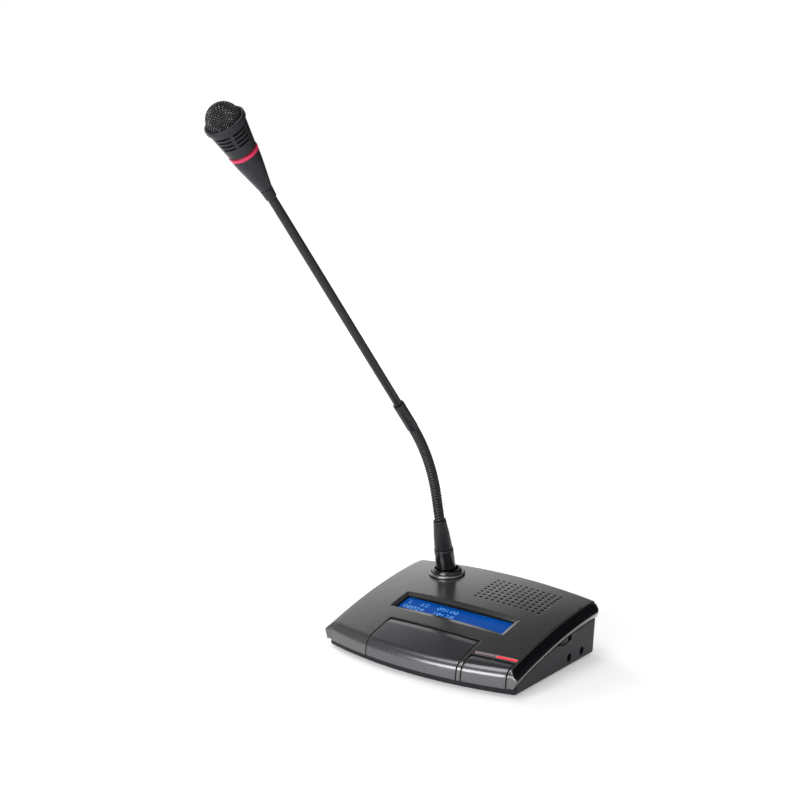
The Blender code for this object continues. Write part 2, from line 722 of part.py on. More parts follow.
def recess(name, grow, low, high):
    """The sloping sides of the display's recess, grown outward, between two depths."""
    def corner(sx, sy, sz):
        height = high if sz > 0 else low
        share = 1 + height / WINDOW_DEPTH
        x = WINDOW_HALF_X + (DISPLAY_HALF_X - WINDOW_HALF_X) * share + grow
        y = WINDOW_HALF_Y + (DISPLAY_HALF_Y - WINDOW_HALF_Y) * share + grow
        return (sx * x, sy * y, height)
    return hexahedron(name, corner, None, display)


join(cover, recess("recess_outside", RECESS_WALL, funnel_bottom, -COVER_WALL / 2 - CROWN / 2))
frame_top = funnel_bottom - GAP - LENS_THICKNESS - GAP
frame_bottom = frame_top - FRAME_HEIGHT
display_board_top = frame_bottom - GAP
for sx in (-1, 1):
    for sy in (-1, 1):
        post = display @ Matrix.Translation((sx * DISPLAY_POST_X, sy * DISPLAY_POST_Y, 0))
        sag = CROWN * (DISPLAY_POST_X / half_width(DISPLAY_Y)) ** 2
        join(cover, cylinder(f"display_post_{sx}_{sy}", DISPLAY_POST_RADIUS, display_board_top + GAP,
                             -sag - COVER_WALL / 2, None, post))
for number, (x, y) in enumerate(screw_places):
    spot = Matrix.Translation((x, y, 0))
    boss_top = top_height(x, y) - COVER_WALL / 2
    join(cover, cylinder(f"cover_boss_{number}", SCREW_BOSS_RADIUS, SPLIT_HEIGHT + GAP, boss_top, None,
                         spot))
    cut(cover, cylinder(f"pilot_hole_{number}", SCREW_RADIUS + GAP, SPLIT_HEIGHT - OVERRUN,
                        CASE_BOTTOM + SCREW_LENGTH + GAP + SCREW_HEAD_HEIGHT, None, spot))
cut(cover, recess("recess_inside", 0, funnel_bottom - OVERRUN / 4, OVERRUN))


def key_notch(name, left, right, back_at):
    """The opening of a key in the cover, with the key's gap round it."""
    def corner(sx, sy, sz):
        x = right + KEY_GAP if sx > 0 else left - KEY_GAP
        y = back_at(x) + KEY_GAP if sy > 0 else -HALF_DEPTH - FRONT_BULGE - OVERRUN
        z = HEIGHT_REAR if sz > 0 else 0
        return (x, y, z)
    return hexahedron(name, corner)


cut(cover, key_notch("speak_notch", SPEAK_LEFT, SPEAK_RIGHT, speak_back))
cut(cover, key_notch("priority_notch", PRIORITY_LEFT, PRIORITY_RIGHT, priority_back))


def indicator_strip(name, grow, low_depth, high_depth, look):
    """The indicator's strip, grown by a clearance, between two depths under the top."""
    def corner(sx, sy, sz):
        x = INDICATOR_RIGHT + grow if sx > 0 else INDICATOR_LEFT - grow
        y = indicator_y(x) + sy * (INDICATOR_WIDTH / 2 + grow)
        return (x, y, top_height(x, y) - (high_depth if sz > 0 else low_depth))
    return hexahedron(name, corner, look)


cut(cover, indicator_strip("indicator_slot", GAP, COVER_WALL + OVERRUN, -OVERRUN, None))

grille = bmesh.new()
for column in range(GRILLE_COLUMNS):
    for row in range(GRILLE_ROWS):
        x = SPEAKER_X + GRILLE_PITCH * (column - (GRILLE_COLUMNS - 1) / 2)
        y = SPEAKER_Y + GRILLE_PITCH * (row - (GRILLE_ROWS - 1) / 2)
        bmesh.ops.create_cone(grille, cap_ends=True, segments=6, radius1=GRILLE_HOLE_RADIUS,
                              radius2=GRILLE_HOLE_RADIUS, depth=2 * (COVER_WALL + OVERRUN),
                              matrix=Matrix.Translation((x, y, top_height(x, y))))
cut(cover, place_object("grille_holes", finish_mesh("grille_holes", grille), Matrix.Identity(4), None))

mic = surface_frame(MIC_X, MIC_Y)
cut(cover, cylinder("mic_hole", RING_NECK_RADIUS + GAP, -COVER_WALL - OVERRUN, OVERRUN, None, mic,
                    HEAD_SIDES))

# Side trims: the same section at stations along the side, the left one mirrored


def trim(name, side):
    rings = []
    for station in range(TRIM_STATIONS + 1):
        y = -HALF_DEPTH + 2 * HALF_DEPTH * station / TRIM_STATIONS
        inner = half_width(y) + GAP
        outer = half_width(y) + CHAMFER_WIDTH
        top = edge_height(y)
        section = [(inner, top), (outer, top - CHAMFER_DROP), (outer, top - CHAMFER_DROP - TRIM_EDGE),
                   (wall_x(y), top - TRIM_DEPTH), (inner, top - TRIM_DEPTH)]
        rings.append([(side * x, y, z) for x, z in section])
    return loft(name, rings, BLACK_GLOSS)


trim("side_trim_left", -1)
trim_right = trim("side_trim_right", 1)

# Bottom case: the outline's prism, hollowed, with its rim lowered under the cover, trims and lip
case = prism("bottom_case", case_outline(0), CASE_BOTTOM, HEIGHT_REAR + CROWN, CASE_DARK)
cut(case, prism("case_hollow", case_outline(CASE_WALL), FLOOR_TOP, HEIGHT_REAR + CROWN + OVERRUN))
cut(case, above_top("under_cover", COVER_WALL + GAP, -half_width(HALF_DEPTH) - CHAMFER_WIDTH,
                    half_width(HALF_DEPTH) + CHAMFER_WIDTH))


def under_trim(name, side):
    """Lowers the side wall's rim to the trim's underside."""
    rings = []
    for station in range(TRIM_STATIONS + 1):
        y = (-1 + 2 * station / TRIM_STATIONS) * (HALF_DEPTH + OVERRUN)
        inner = half_width(y) - GAP
        outer = half_width(y) + CHAMFER_WIDTH + OVERRUN
        low = edge_height(y) - TRIM_DEPTH - GAP
        high = HEIGHT_REAR + CROWN + OVERRUN
        section = [(inner, low), (outer, low), (outer, high), (inner, high)]
        rings.append([(side * x, y, z) for x, z in section])
    return loft(name, rings)


cut(case, under_trim("under_trim_left", -1), under_trim("under_trim_right", 1))
front_gap_x = HALF_WIDTH_FRONT + GAP
cut(case, box("under_lip", (-front_gap_x, -HALF_DEPTH - FRONT_BULGE, LIP_BOTTOM - GAP),
              (front_gap_x, -HALF_DEPTH + LIP_SETBACK + CASE_WALL + OVERRUN / 4, HEIGHT_REAR)))
for number, (x, y) in enumerate(screw_places):
    spot = Matrix.Translation((x, y, 0))
    head_room = CASE_BOTTOM + SCREW_HEAD_HEIGHT + 2 * GAP
    join(case, cylinder(f"case_boss_{number}", SCREW_BOSS_RADIUS + CASE_BOSS_WALL, CASE_BOTTOM + FLOOR / 2,
                        SPLIT_HEIGHT, None, spot))
    cut(case, cylinder(f"screw_hole_{number}", SCREW_RADIUS + GAP, CASE_BOTTOM - OVERRUN,
                       SPLIT_HEIGHT + OVERRUN, None, spot))
    cut(case, cylinder(f"head_recess_{number}", SCREW_HEAD_RADIUS + GAP, CASE_BOTTOM - OVERRUN, head_room,
                       None, spot))
board_posts = []
for x in (MAIN_BOARD_LEFT + POST_INSET, main_board_right - POST_INSET):
    for y in (MAIN_BOARD_FRONT + POST_INSET, MAIN_BOARD_BACK - POST_INSET):
        board_posts.append((x, y, MAIN_BOARD_BOTTOM - GAP))
for x in KEY_BOARD_POST_X:
    board_posts.append((x, (KEY_BOARD_FRONT + KEY_BOARD_BACK) / 2, KEY_BOARD_BOTTOM - GAP))
for number, (x, y, top) in enumerate(board_posts):
    join(case, cylinder(f"board_post_{number}", POST_RADIUS, CASE_BOTTOM + FLOOR / 2, top, None,
                        Matrix.Translation((x, y, 0))))

# Openings of the right side: the wheel's scoop and slot, and the headphone sockets
scoop = bmesh.new()
bmesh.ops.create_uvsphere(scoop, u_segments=16, v_segments=8, radius=1.0)
scoop_size = Matrix.Diagonal((SCOOP_REACH, SCOOP_HALF_LENGTH, SCOOP_HALF_HEIGHT, 1.0))
scoop_place = Matrix.Translation((wall_x(WHEEL_Y) - SCOOP_DEPTH + SCOOP_REACH, WHEEL_Y, WHEEL_Z))
bmesh.ops.transform(scoop, matrix=scoop_place @ scoop_size, verts=scoop.verts)
scoop_cutter = place_object("wheel_scoop", finish_mesh("wheel_scoop", scoop), Matrix.Identity(4), None)
slot_half_y = WHEEL_RADIUS + WHEEL_SLOT_ROOM
slot_half_z = WHEEL_THICKNESS / 2 + WHEEL_SLOT_ROOM
slot_cutter = box("wheel_slot", (wheel_x, WHEEL_Y - slot_half_y, WHEEL_Z - slot_half_z),
                  (wheel_x + WHEEL_RADIUS + CHAMFER_WIDTH, WHEEL_Y + slot_half_y, WHEEL_Z + slot_half_z))
cut(case, scoop_cutter, slot_cutter)
cut(trim_right, scoop_cutter, slot_cutter)
for number, y in enumerate(JACK_Y):
    cut(case, cylinder(f"jack_opening_{number}", JACK_MOUTH_RADIUS, -CASE_WALL - OVERRUN, OVERRUN, None,
                       along_x(wall_x(y), y, JACK_Z), ARM_SIDES))

# Openings of the rear wall
trunk_z = MAIN_BOARD_BOTTOM + BOARD_THICKNESS + GAP + TRUNK_FLANGE_RADIUS
for number, x in enumerate(TRUNK_X):
    cut(case, cylinder(f"trunk_opening_{number}", TRUNK_RADIUS + GAP, -CASE_WALL - OVERRUN, OVERRUN, None,
                       along_y(x, rear_wall_y(x), trunk_z), ARM_SIDES))

# Pad under the case, with holes at the screws
pad = prism("non_slip_pad", case_outline(PAD_INSET), 0, PAD_THICKNESS, RUBBER)
for number, (x, y) in enumerate(screw_places):
    cut(pad, cylinder(f"pad_hole_{number}", SCREW_BOSS_RADIUS, -OVERRUN, OVERRUN, None,
                      Matrix.Translation((x, y, 0))))
for number, (x, y) in enumerate(screw_places):
    head = CASE_BOTTOM + GAP
    neck = head + SCREW_HEAD_HEIGHT
    turned(f"case_screw_{number + 1}",
           [(0, neck + SCREW_LENGTH), (SCREW_RADIUS, neck + SCREW_LENGTH), (SCREW_RADIUS, neck),
            (SCREW_HEAD_RADIUS, neck), (SCREW_HEAD_RADIUS, head), (0, head)],
           STEEL, Matrix.Translation((x, y, 0)), SMALL_SIDES, False)

# Keys: a patch of the skin with two arms back to the hinge rod and a boss over the switch


def key(name, left, right, back_at, columns, rows, switch_x):
    made = skin(name, lines_between(left, right, columns), back_at, rows, KEY_WALL, KEY_GREY)
    for side, edge in ((1, left), (-1, right)):
        inner = edge + side * KNUCKLE_INSET
        x_low, x_high = sorted((inner, inner + side * KNUCKLE_WIDTH))
        x_middle = (x_low + x_high) / 2
        riser_back = back_at(x_middle) - KEY_GAP
        riser_front = riser_back - RISER_LENGTH

        def arm_corner(sx, sy, sz):
            y = ROD_Y if sy > 0 else riser_front
            z = ROD_Z + (y - ROD_Y) * ARM_DROP_SHARE + sz * ARM_THICKNESS / 2
            return (x_high if sx > 0 else x_low, y, z)

        def riser_corner(sx, sy, sz):
            x = x_high - GAP if sx > 0 else x_low + GAP
            y = riser_back if sy > 0 else riser_front + GAP
            low = ROD_Z + (y - ROD_Y) * ARM_DROP_SHARE
            return (x, y, top_height(x, y) - KEY_WALL / 2 if sz > 0 else low)

        knuckle = cylinder(f"{name}_knuckle_{side}", KNUCKLE_RADIUS, x_low, x_high, None,
                           along_x(0, ROD_Y, ROD_Z), ARM_SIDES)
        join(made, hexahedron(f"{name}_riser_{side}", riser_corner))
        join(made, hexahedron(f"{name}_arm_{side}", arm_corner))
        join(made, knuckle)
        cut(made, cylinder(f"{name}_bore_{side}", ROD_RADIUS + GAP, x_low - OVERRUN, x_high + OVERRUN,
                           None, along_x(0, ROD_Y, ROD_Z), ARM_SIDES))
    boss_top = top_height(switch_x, SWITCH_Y) - KEY_WALL / 2
    join(made, cylinder(f"{name}_boss", KEY_BOSS_RADIUS, button_top + GAP, boss_top, None,
                        Matrix.Translation((switch_x, SWITCH_Y, 0))))
    return made


switch_bottom = KEY_BOARD_BOTTOM + KEY_BOARD_THICKNESS + GAP
switch_top = switch_bottom + SWITCH_HEIGHT
button_bottom = switch_bottom + SWITCH_FLOOR + BUTTON_TRAVEL_ROOM
button_top = button_bottom + BUTTON_HEIGHT
speak_x = (SPEAK_LEFT + SPEAK_RIGHT) / 2
priority_x = (PRIORITY_LEFT + PRIORITY_RIGHT) / 2
key("speak_key", SPEAK_LEFT, SPEAK_RIGHT, speak_back, 8, 3, speak_x)
key("priority_key", PRIORITY_LEFT, PRIORITY_RIGHT, priority_back, 4, 2, priority_x)

# Hinge rod and the bracket whose ears carry it
ear_places = []
for left, right in ((SPEAK_LEFT, SPEAK_RIGHT), (PRIORITY_LEFT, PRIORITY_RIGHT)):
    ear_places.append(left + KNUCKLE_INSET - GAP - EAR_THICKNESS)
    ear_places.append(right - KNUCKLE_INSET + GAP)
rod_left = ear_places[0] - ROD_OVERHANG
rod_right = ear_places[3] + EAR_THICKNESS + ROD_OVERHANG
cylinder("key_hinge_rod", ROD_RADIUS, rod_left, rod_right, STEEL, along_x(0, ROD_Y, ROD_Z))
bracket = box("key_bracket", (rod_left, BRACKET_BACK - BRACKET_PLATE, FLOOR_TOP + GAP),
              (rod_right, BRACKET_BACK, ROD_Z + EAR_BELOW), CASE_DARK)
for number, x in enumerate(ear_places):
    join(bracket, box(f"ear_{number}", (x, ROD_Y - EAR_FRONT, ROD_Z - EAR_BELOW),
                      (x + EAR_THICKNESS, BRACKET_BACK - BRACKET_PLATE / 2, ROD_Z + EAR_BELOW - GAP)))
cut(bracket, cylinder("ear_bore", ROD_RADIUS + GAP, rod_left - OVERRUN, rod_right + OVERRUN, None,
                      along_x(0, ROD_Y, ROD_Z), ARM_SIDES))

box("key_board", (KEY_BOARD_LEFT, KEY_BOARD_FRONT, KEY_BOARD_BOTTOM),
    (KEY_BOARD_RIGHT, KEY_BOARD_BACK, KEY_BOARD_BOTTOM + KEY_BOARD_THICKNESS), BOARD_GREEN)
for name, x in (("speak_switch", speak_x), ("priority_switch", priority_x)):
    spot = Matrix.Translation((x, SWITCH_Y, 0))
    half = SWITCH_SIDE / 2
    body = box(name, (-half, -half, switch_bottom), (half, half, switch_top), BLACK_GLOSS, spot)
    cut(body, cylinder(name + "_bore", BUTTON_RADIUS + GAP, switch_bottom + SWITCH_FLOOR,
                       switch_top + OVERRUN, None, spot, ARM_SIDES))
    cylinder(name + "_button", BUTTON_RADIUS, button_bottom, button_top, WHITE_PLASTIC, spot, ARM_SIDES)

# Indicator: a strip in the cover with a stem down to the key board
indicator = indicator_strip("indicator_lens", 0, COVER_WALL, 0, LIGHT_RED)


def stem_corner(sx, sy, sz):
    x = INDICATOR_STEM_RIGHT if sx > 0 else INDICATOR_STEM_LEFT
    y = indicator_y(x) + sy * INDICATOR_STEM_THICKNESS / 2
    z = top_height(x, y) - COVER_WALL / 2 if sz > 0 else switch_bottom
    return (x, y, z)


join(indicator, hexahedron("indicator_stem", stem_corner))

# Display: everything in the recess's own frame, from the lens down to the board
lens_top = funnel_bottom - GAP
box("display_lens", (-WINDOW_HALF_X - LENS_MARGIN, -WINDOW_HALF_Y - LENS_MARGIN, lens_top - LENS_THICKNESS),
    (WINDOW_HALF_X + LENS_MARGIN, WINDOW_HALF_Y + LENS_MARGIN, lens_top), CLEAR, display)
frame_half_x = WINDOW_HALF_X + FRAME_MARGIN_X
frame_half_y = WINDOW_HALF_Y + FRAME_MARGIN_Y
lcd_frame = box("lcd_frame", (-frame_half_x, -frame_half_y, frame_bottom),
                (frame_half_x, frame_half_y, frame_top), STEEL, display)
open_x = frame_half_x - FRAME_RIM
open_y = frame_half_y - FRAME_RIM
cut(lcd_frame, box("frame_opening", (-open_x, -open_y, frame_bottom - OVERRUN),
                   (open_x, open_y, frame_top + OVERRUN), None, display))
box("lcd_panel", (-open_x + GAP, -open_y + GAP, frame_top - GAP - PANEL_THICKNESS),
    (open_x - GAP, open_y - GAP, frame_top - GAP), PANEL_BLUE, display)
box("display_board",
    (-DISPLAY_BOARD_HALF_X, -DISPLAY_BOARD_HALF_Y, display_board_top - DISPLAY_BOARD_THICKNESS),
    (DISPLAY_BOARD_HALF_X, DISPLAY_BOARD_HALF_Y, display_board_top), BOARD_GREEN, display)

# Speaker: basket, cone and magnet in the frame of the grille's middle
speaker = surface_frame(SPEAKER_X, SPEAKER_Y)
flange_top = -COVER_WALL - sag_within(speaker, SPEAKER_RADIUS) - GAP
flange_bottom = flange_top - SPEAKER_FLANGE_THICKNESS
foot_bottom = flange_top - SPEAKER_DEPTH
cone_edge = SPEAKER_RADIUS - SPEAKER_FLANGE
turned("speaker_frame",
       [(SPEAKER_RADIUS, flange_top), (SPEAKER_RADIUS, flange_bottom),
        (cone_edge + SPEAKER_SHEET, flange_bottom),
        (BASKET_FOOT_RADIUS + SPEAKER_SHEET, foot_bottom), (BASKET_HOLE_RADIUS, foot_bottom),
        (BASKET_HOLE_RADIUS, foot_bottom + SPEAKER_SHEET), (BASKET_FOOT_RADIUS, foot_bottom + SPEAKER_SHEET),
        (cone_edge, flange_bottom), (cone_edge, flange_top)],
       STEEL, speaker, SPEAKER_SIDES)
cone_top = flange_top - GAP
cone_low = foot_bottom + SPEAKER_SHEET + 2 * GAP
turned("speaker_cone",
       [(0, cone_low + DUST_CAP_RISE + CONE_SHEET),
        (DUST_CAP_RADIUS * DUST_CAP_SHOULDER_SHARES[0],
         cone_low + DUST_CAP_RISE * DUST_CAP_SHOULDER_SHARES[1] + CONE_SHEET),
        (DUST_CAP_RADIUS, cone_low + 2 * CONE_SHEET), (cone_edge - GAP, cone_top),
        (cone_edge - GAP, cone_top - CONE_SHEET), (DUST_CAP_RADIUS, cone_low), (0, cone_low)],
       CONE_BLACK, speaker, SPEAKER_SIDES, False)
turned("speaker_magnet",
       [(0, foot_bottom - GAP), (MAGNET_RADIUS, foot_bottom - GAP),
        (MAGNET_RADIUS, foot_bottom - GAP - MAGNET_HEIGHT), (0, foot_bottom - GAP - MAGNET_HEIGHT)],
       STEEL, speaker, SPEAKER_SIDES, False)

# Main board, side board and what sits on them
box("main_board", (MAIN_BOARD_LEFT, MAIN_BOARD_FRONT, MAIN_BOARD_BOTTOM),
    (main_board_right, MAIN_BOARD_BACK, MAIN_BOARD_BOTTOM + BOARD_THICKNESS), BOARD_GREEN)
box("side_board", (side_board_left, SIDE_BOARD_FRONT, FLOOR_TOP + GAP),
    (side_board_right, SIDE_BOARD_BACK, SIDE_BOARD_TOP), BOARD_GREEN)
for number, y in enumerate(JACK_Y):
    face = wall_x(y) - CASE_WALL - 2 * GAP
    jack = box(f"headphone_socket_{number + 1}",
               (side_board_right + GAP, y - JACK_HALF_WIDTH, JACK_Z - JACK_HALF_HEIGHT),
               (face, y + JACK_HALF_WIDTH, JACK_Z + JACK_HALF_HEIGHT), BLACK_GLOSS)
    cut(jack, cylinder(f"jack_mouth_{number}", JACK_MOUTH_RADIUS, -JACK_MOUTH_DEPTH, OVERRUN, None,
                       along_x(face, y, JACK_Z), ARM_SIDES))
    cut(jack, cylinder(f"jack_bore_{number}", JACK_BORE_RADIUS, -JACK_BORE_DEPTH, OVERRUN, None,
                       along_x(face, y, JACK_Z), SMALL_SIDES))
for name, x in (("trunk_socket_in", TRUNK_X[0]), ("trunk_socket_out", TRUNK_X[1])):
    face = rear_wall_y(x)
    inner = -CASE_WALL - 3 * GAP
    turned(name,
           [(TRUNK_RADIUS, 0), (TRUNK_RADIUS, inner), (TRUNK_FLANGE_RADIUS, inner),
            (TRUNK_FLANGE_RADIUS, -TRUNK_LENGTH), (0, -TRUNK_LENGTH), (0, -TRUNK_BORE_DEPTH),
            (TRUNK_RADIUS - TRUNK_WALL, -TRUNK_BORE_DEPTH), (TRUNK_RADIUS - TRUNK_WALL, 0)],
           BLACK_GLOSS, along_y(x, face, trunk_z), ARM_SIDES)

# Volume wheel with its shaft, in the bore of the potentiometer
wheel_outline = []
for step in range(2 * WHEEL_KNURLS):
    angle = math.pi * step / WHEEL_KNURLS
    radius = WHEEL_RADIUS if step % 2 == 0 else WHEEL_RADIUS - WHEEL_KNURL_DEPTH
    wheel_outline.append((radius * math.cos(angle), radius * math.sin(angle)))
wheel_spot = Matrix.Translation((wheel_x, WHEEL_Y, WHEEL_Z))
half_wheel = WHEEL_THICKNESS / 2
wheel = prism("volume_wheel", wheel_outline, -half_wheel, half_wheel, BLACK_GLOSS, wheel_spot)
join(wheel, cylinder("wheel_shaft", SHAFT_RADIUS, -half_wheel - SHAFT_LENGTH, 0, None, wheel_spot))
pot_top = WHEEL_Z - half_wheel - GAP
pot = box("volume_potentiometer", (side_board_right + GAP, WHEEL_Y - POT_HALF_Y, pot_top - POT_HEIGHT),
          (wheel_x + SHAFT_RADIUS + POT_HALF_Y / 2, WHEEL_Y + POT_HALF_Y, pot_top), BLACK_GLOSS)
cut(pot, cylinder("pot_bore", SHAFT_RADIUS + GAP, -half_wheel - SHAFT_LENGTH - 2 * GAP, 0, None, wheel_spot))

# Microphone socket: the ring and the collar on the top, the connector body under it
turned("socket_ring",
       [(RING_INNER_RADIUS, RING_HEIGHT), (RING_RADIUS - GAP, RING_HEIGHT), (RING_RADIUS, RING_HEIGHT - GAP),
        (RING_RADIUS, GAP), (RING_NECK_RADIUS, GAP), (RING_NECK_RADIUS, -COVER_WALL + GAP),
        (RING_INNER_RADIUS, -COVER_WALL + GAP)],
       GUNMETAL, mic, HEAD_SIDES)
turned("socket_collar",
       [(COLLAR_HOLE_RADIUS, COLLAR_HEIGHT), (COLLAR_HOLE_RADIUS + COLLAR_TOP_WALL, COLLAR_HEIGHT),
        (RING_INNER_RADIUS - GAP, RING_HEIGHT + GAP), (RING_INNER_RADIUS - GAP, -COVER_WALL + GAP),
        (COLLAR_HOLE_RADIUS, -COVER_WALL + GAP)],
       BLACK_GLOSS, mic, HEAD_SIDES)
socket_bottom = SOCKET_TOP - SOCKET_LENGTH
arm_piece("socket_body",
          [(SOCKET_FLANGE_RADIUS, SOCKET_TOP), (SOCKET_FLANGE_RADIUS, SOCKET_TOP - SOCKET_FLANGE_THICKNESS),
           (SOCKET_RADIUS, SOCKET_TOP - SOCKET_FLANGE_THICKNESS), (SOCKET_RADIUS, socket_bottom),
           (0, socket_bottom), (0, socket_bottom + SOCKET_FLANGE_THICKNESS),
           (SOCKET_BORE_RADIUS, socket_bottom + SOCKET_FLANGE_THICKNESS), (SOCKET_BORE_RADIUS, SOCKET_TOP)],
          BLACK_GLOSS, HEAD_SIDES)
arm_piece("gooseneck_sleeve",
          [(0, SLEEVE_TOP), (SLEEVE_RADIUS - SLEEVE_GROOVE_DEPTH, SLEEVE_TOP),
           (SLEEVE_RADIUS, SLEEVE_TOP - SLEEVE_GROOVE), (SLEEVE_RADIUS, -SLEEVE_BELOW),
           (PLUG_RADIUS, -SLEEVE_BELOW), (PLUG_RADIUS, -SLEEVE_BELOW - PLUG_LENGTH),
           (0, -SLEEVE_BELOW - PLUG_LENGTH)],
          BLACK_GLOSS, HEAD_SIDES, False)
arm_piece("gooseneck_boot",
          [(0, FLEX_START), (BOOT_TOP_RADIUS, FLEX_START),
           (SLEEVE_RADIUS - SLEEVE_GROOVE_DEPTH, SLEEVE_TOP + GAP), (0, SLEEVE_TOP + GAP)],
          ARM_BLACK, HEAD_SIDES, False)

# Gooseneck: ribbed pieces with a hinge in each gap between them
piece_length = (FLEX_END - FLEX_START) / (FLEX_JOINTS + 1)
for number in range(FLEX_JOINTS + 1):
    low_gap = GAP if number == 0 else FLEX_JOINT_GAP / 2
    high_gap = GAP if number == FLEX_JOINTS else FLEX_JOINT_GAP / 2
    low = FLEX_START + number * piece_length + low_gap
    high = FLEX_START + (number + 1) * piece_length - high_gap
    middle = (low + high) / 2
    length = high - low
    profile = []
    for step in range(2 * RIBS_PER_PIECE + 1):
        radius = FLEX_RADIUS if step % 2 else FLEX_VALLEY_RADIUS
        profile.append((radius, length / 2 - length * step / (2 * RIBS_PER_PIECE)))
    profile += [(FLEX_BORE_RADIUS, -length / 2), (FLEX_BORE_RADIUS, length / 2)]
    turned(f"gooseneck_piece_{number}", profile, ARM_BLACK, arm_frame(middle), SMALL_SIDES)

# Rod of the microphone, its coupling, its ferrule and the cable inside
arm_piece("gooseneck_coupling",
          [(COUPLING_RADIUS, COUPLING_END), (COUPLING_RADIUS, FLEX_END + GAP),
           (ROD_BORE_RADIUS, FLEX_END + GAP), (ROD_BORE_RADIUS, COUPLING_END)], ARM_BLACK)
arm_piece("boom_rod",
          [(ROD_TUBE_RADIUS, FERRULE_START), (ROD_TUBE_RADIUS, COUPLING_END + GAP),
           (ROD_BORE_RADIUS, COUPLING_END + GAP), (ROD_BORE_RADIUS, FERRULE_START)], ARM_BLACK)
arm_piece("head_ferrule",
          [(FERRULE_RADIUS, FERRULE_END), (FERRULE_RADIUS - 2 * GAP, FERRULE_START + GAP),
           (ROD_BORE_RADIUS, FERRULE_START + GAP), (ROD_BORE_RADIUS, FERRULE_END)], ARM_BLACK)
arm_piece("microphone_cable",
          [(0, CABLE_END), (CABLE_RADIUS, CABLE_END), (CABLE_RADIUS, FLEX_END + GAP), (0, FLEX_END + GAP)],
          RUBBER, SMALL_SIDES, False)

# Head: lower shell, light ring, slotted body, collar, ball and capsule
shell_top = LIGHT_START - GAP
arm_piece("head_lower_shell",
          [(HEAD_RADIUS_AT_LIGHT, shell_top), (HEAD_SHELL_MIDDLE_RADIUS, HEAD_SHELL_MIDDLE),
           (FERRULE_RADIUS, FERRULE_END + GAP), (ROD_BORE_RADIUS, FERRULE_END + GAP),
           (ROD_BORE_RADIUS, FERRULE_END + 2 * HEAD_WALL),
           (HEAD_SHELL_MIDDLE_RADIUS - HEAD_WALL, HEAD_SHELL_MIDDLE),
           (HEAD_RADIUS_AT_LIGHT - HEAD_WALL, shell_top)],
          ARM_BLACK, HEAD_SIDES)
light_inner = HEAD_RADIUS_AT_LIGHT - HEAD_WALL
arm_piece("light_ring",
          [(LIGHT_RADIUS - GAP, LIGHT_END), (LIGHT_RADIUS, (LIGHT_START + LIGHT_END) / 2),
           (LIGHT_RADIUS - GAP, LIGHT_START), (light_inner, LIGHT_START), (light_inner, LIGHT_END)],
          LIGHT_RED, HEAD_SIDES)
body_low = LIGHT_END + GAP
body_high = COLLAR_START - GAP
head_body = arm_piece("head_body",
                      [(HEAD_RADIUS_AT_COLLAR, body_high), (HEAD_RADIUS_AT_LIGHT, body_low),
                       (HEAD_RADIUS_AT_LIGHT - HEAD_WALL, body_low),
                       (HEAD_RADIUS_AT_COLLAR - HEAD_WALL, body_high)],
                      ARM_BLACK, HEAD_SIDES)
slots = bmesh.new()
for row in range(SLOT_ROWS):
    height = body_high - SLOT_BELOW_COLLAR - row * SLOT_ROW_PITCH
    middle_share = (height - body_low) / (body_high - body_low)
    radius = HEAD_RADIUS_AT_LIGHT + (HEAD_RADIUS_AT_COLLAR - HEAD_RADIUS_AT_LIGHT) * middle_share
    width = 2 * math.pi * radius / SLOTS_PER_ROW * SLOT_FILL_SHARE
    for number in range(SLOTS_PER_ROW):
        around = math.radians(SLOT_TURN_DEG) + 2 * math.pi * number / SLOTS_PER_ROW
        turn = Matrix.Rotation(around, 4, "Z")
        spot = Matrix.Translation((radius, 0, height - body_high))
        size = Matrix.Diagonal((4 * HEAD_WALL, width, SLOT_HEIGHT, 1.0))
        bmesh.ops.create_cube(slots, size=1.0, matrix=turn @ spot @ size)
cut(head_body, place_object("head_slots", finish_mesh("head_slots", slots), arm_frame(body_high), None))
collar_inner = BALL_RADIUS + GAP
arm_piece("head_collar",
          [(HEAD_COLLAR_RADIUS - 2 * GAP, COLLAR_END), (HEAD_COLLAR_RADIUS, COLLAR_END - 2 * GAP),
           (HEAD_COLLAR_RADIUS, COLLAR_START + 2 * GAP), (HEAD_COLLAR_RADIUS - 2 * GAP, COLLAR_START),
           (collar_inner, COLLAR_START), (collar_inner, COLLAR_END)],
          ARM_BLACK, HEAD_SIDES)


def dome(radius, bottom):
    """Half a circle's worth of profile, from the pole down to the equator and a short skirt."""
    angles = [math.pi / 2 * step / BALL_STEPS for step in range(BALL_STEPS + 1)]
    points = [(radius * math.sin(a), COLLAR_END + radius * math.cos(a)) for a in angles]
    return points + [(radius, bottom)]


ball_bottom = COLLAR_START + GAP
inside = list(reversed(dome(BALL_RADIUS - BALL_SHEET, ball_bottom)))
arm_piece("ball_grille", dome(BALL_RADIUS, ball_bottom) + inside, MESH_BLACK, HEAD_SIDES, False)
capsule_bottom = CAPSULE_TOP - CAPSULE_LENGTH
arm_piece("microphone_capsule",
          [(0, CAPSULE_TOP), (CAPSULE_RADIUS, CAPSULE_TOP), (CAPSULE_RADIUS, capsule_bottom),
           (0, capsule_bottom)],
          STEEL, ARM_SIDES, False)
mount_top = COLLAR_START - GAP
mount_radius = HEAD_RADIUS_AT_COLLAR - HEAD_WALL - 3 * GAP
arm_piece("capsule_mount",
          [(mount_radius, mount_top), (mount_radius - 2 * GAP, mount_top - CAPSULE_MOUNT_HEIGHT),
           (CAPSULE_RADIUS + GAP, mount_top - CAPSULE_MOUNT_HEIGHT), (CAPSULE_RADIUS + GAP, mount_top)],
          RUBBER, ARM_SIDES)
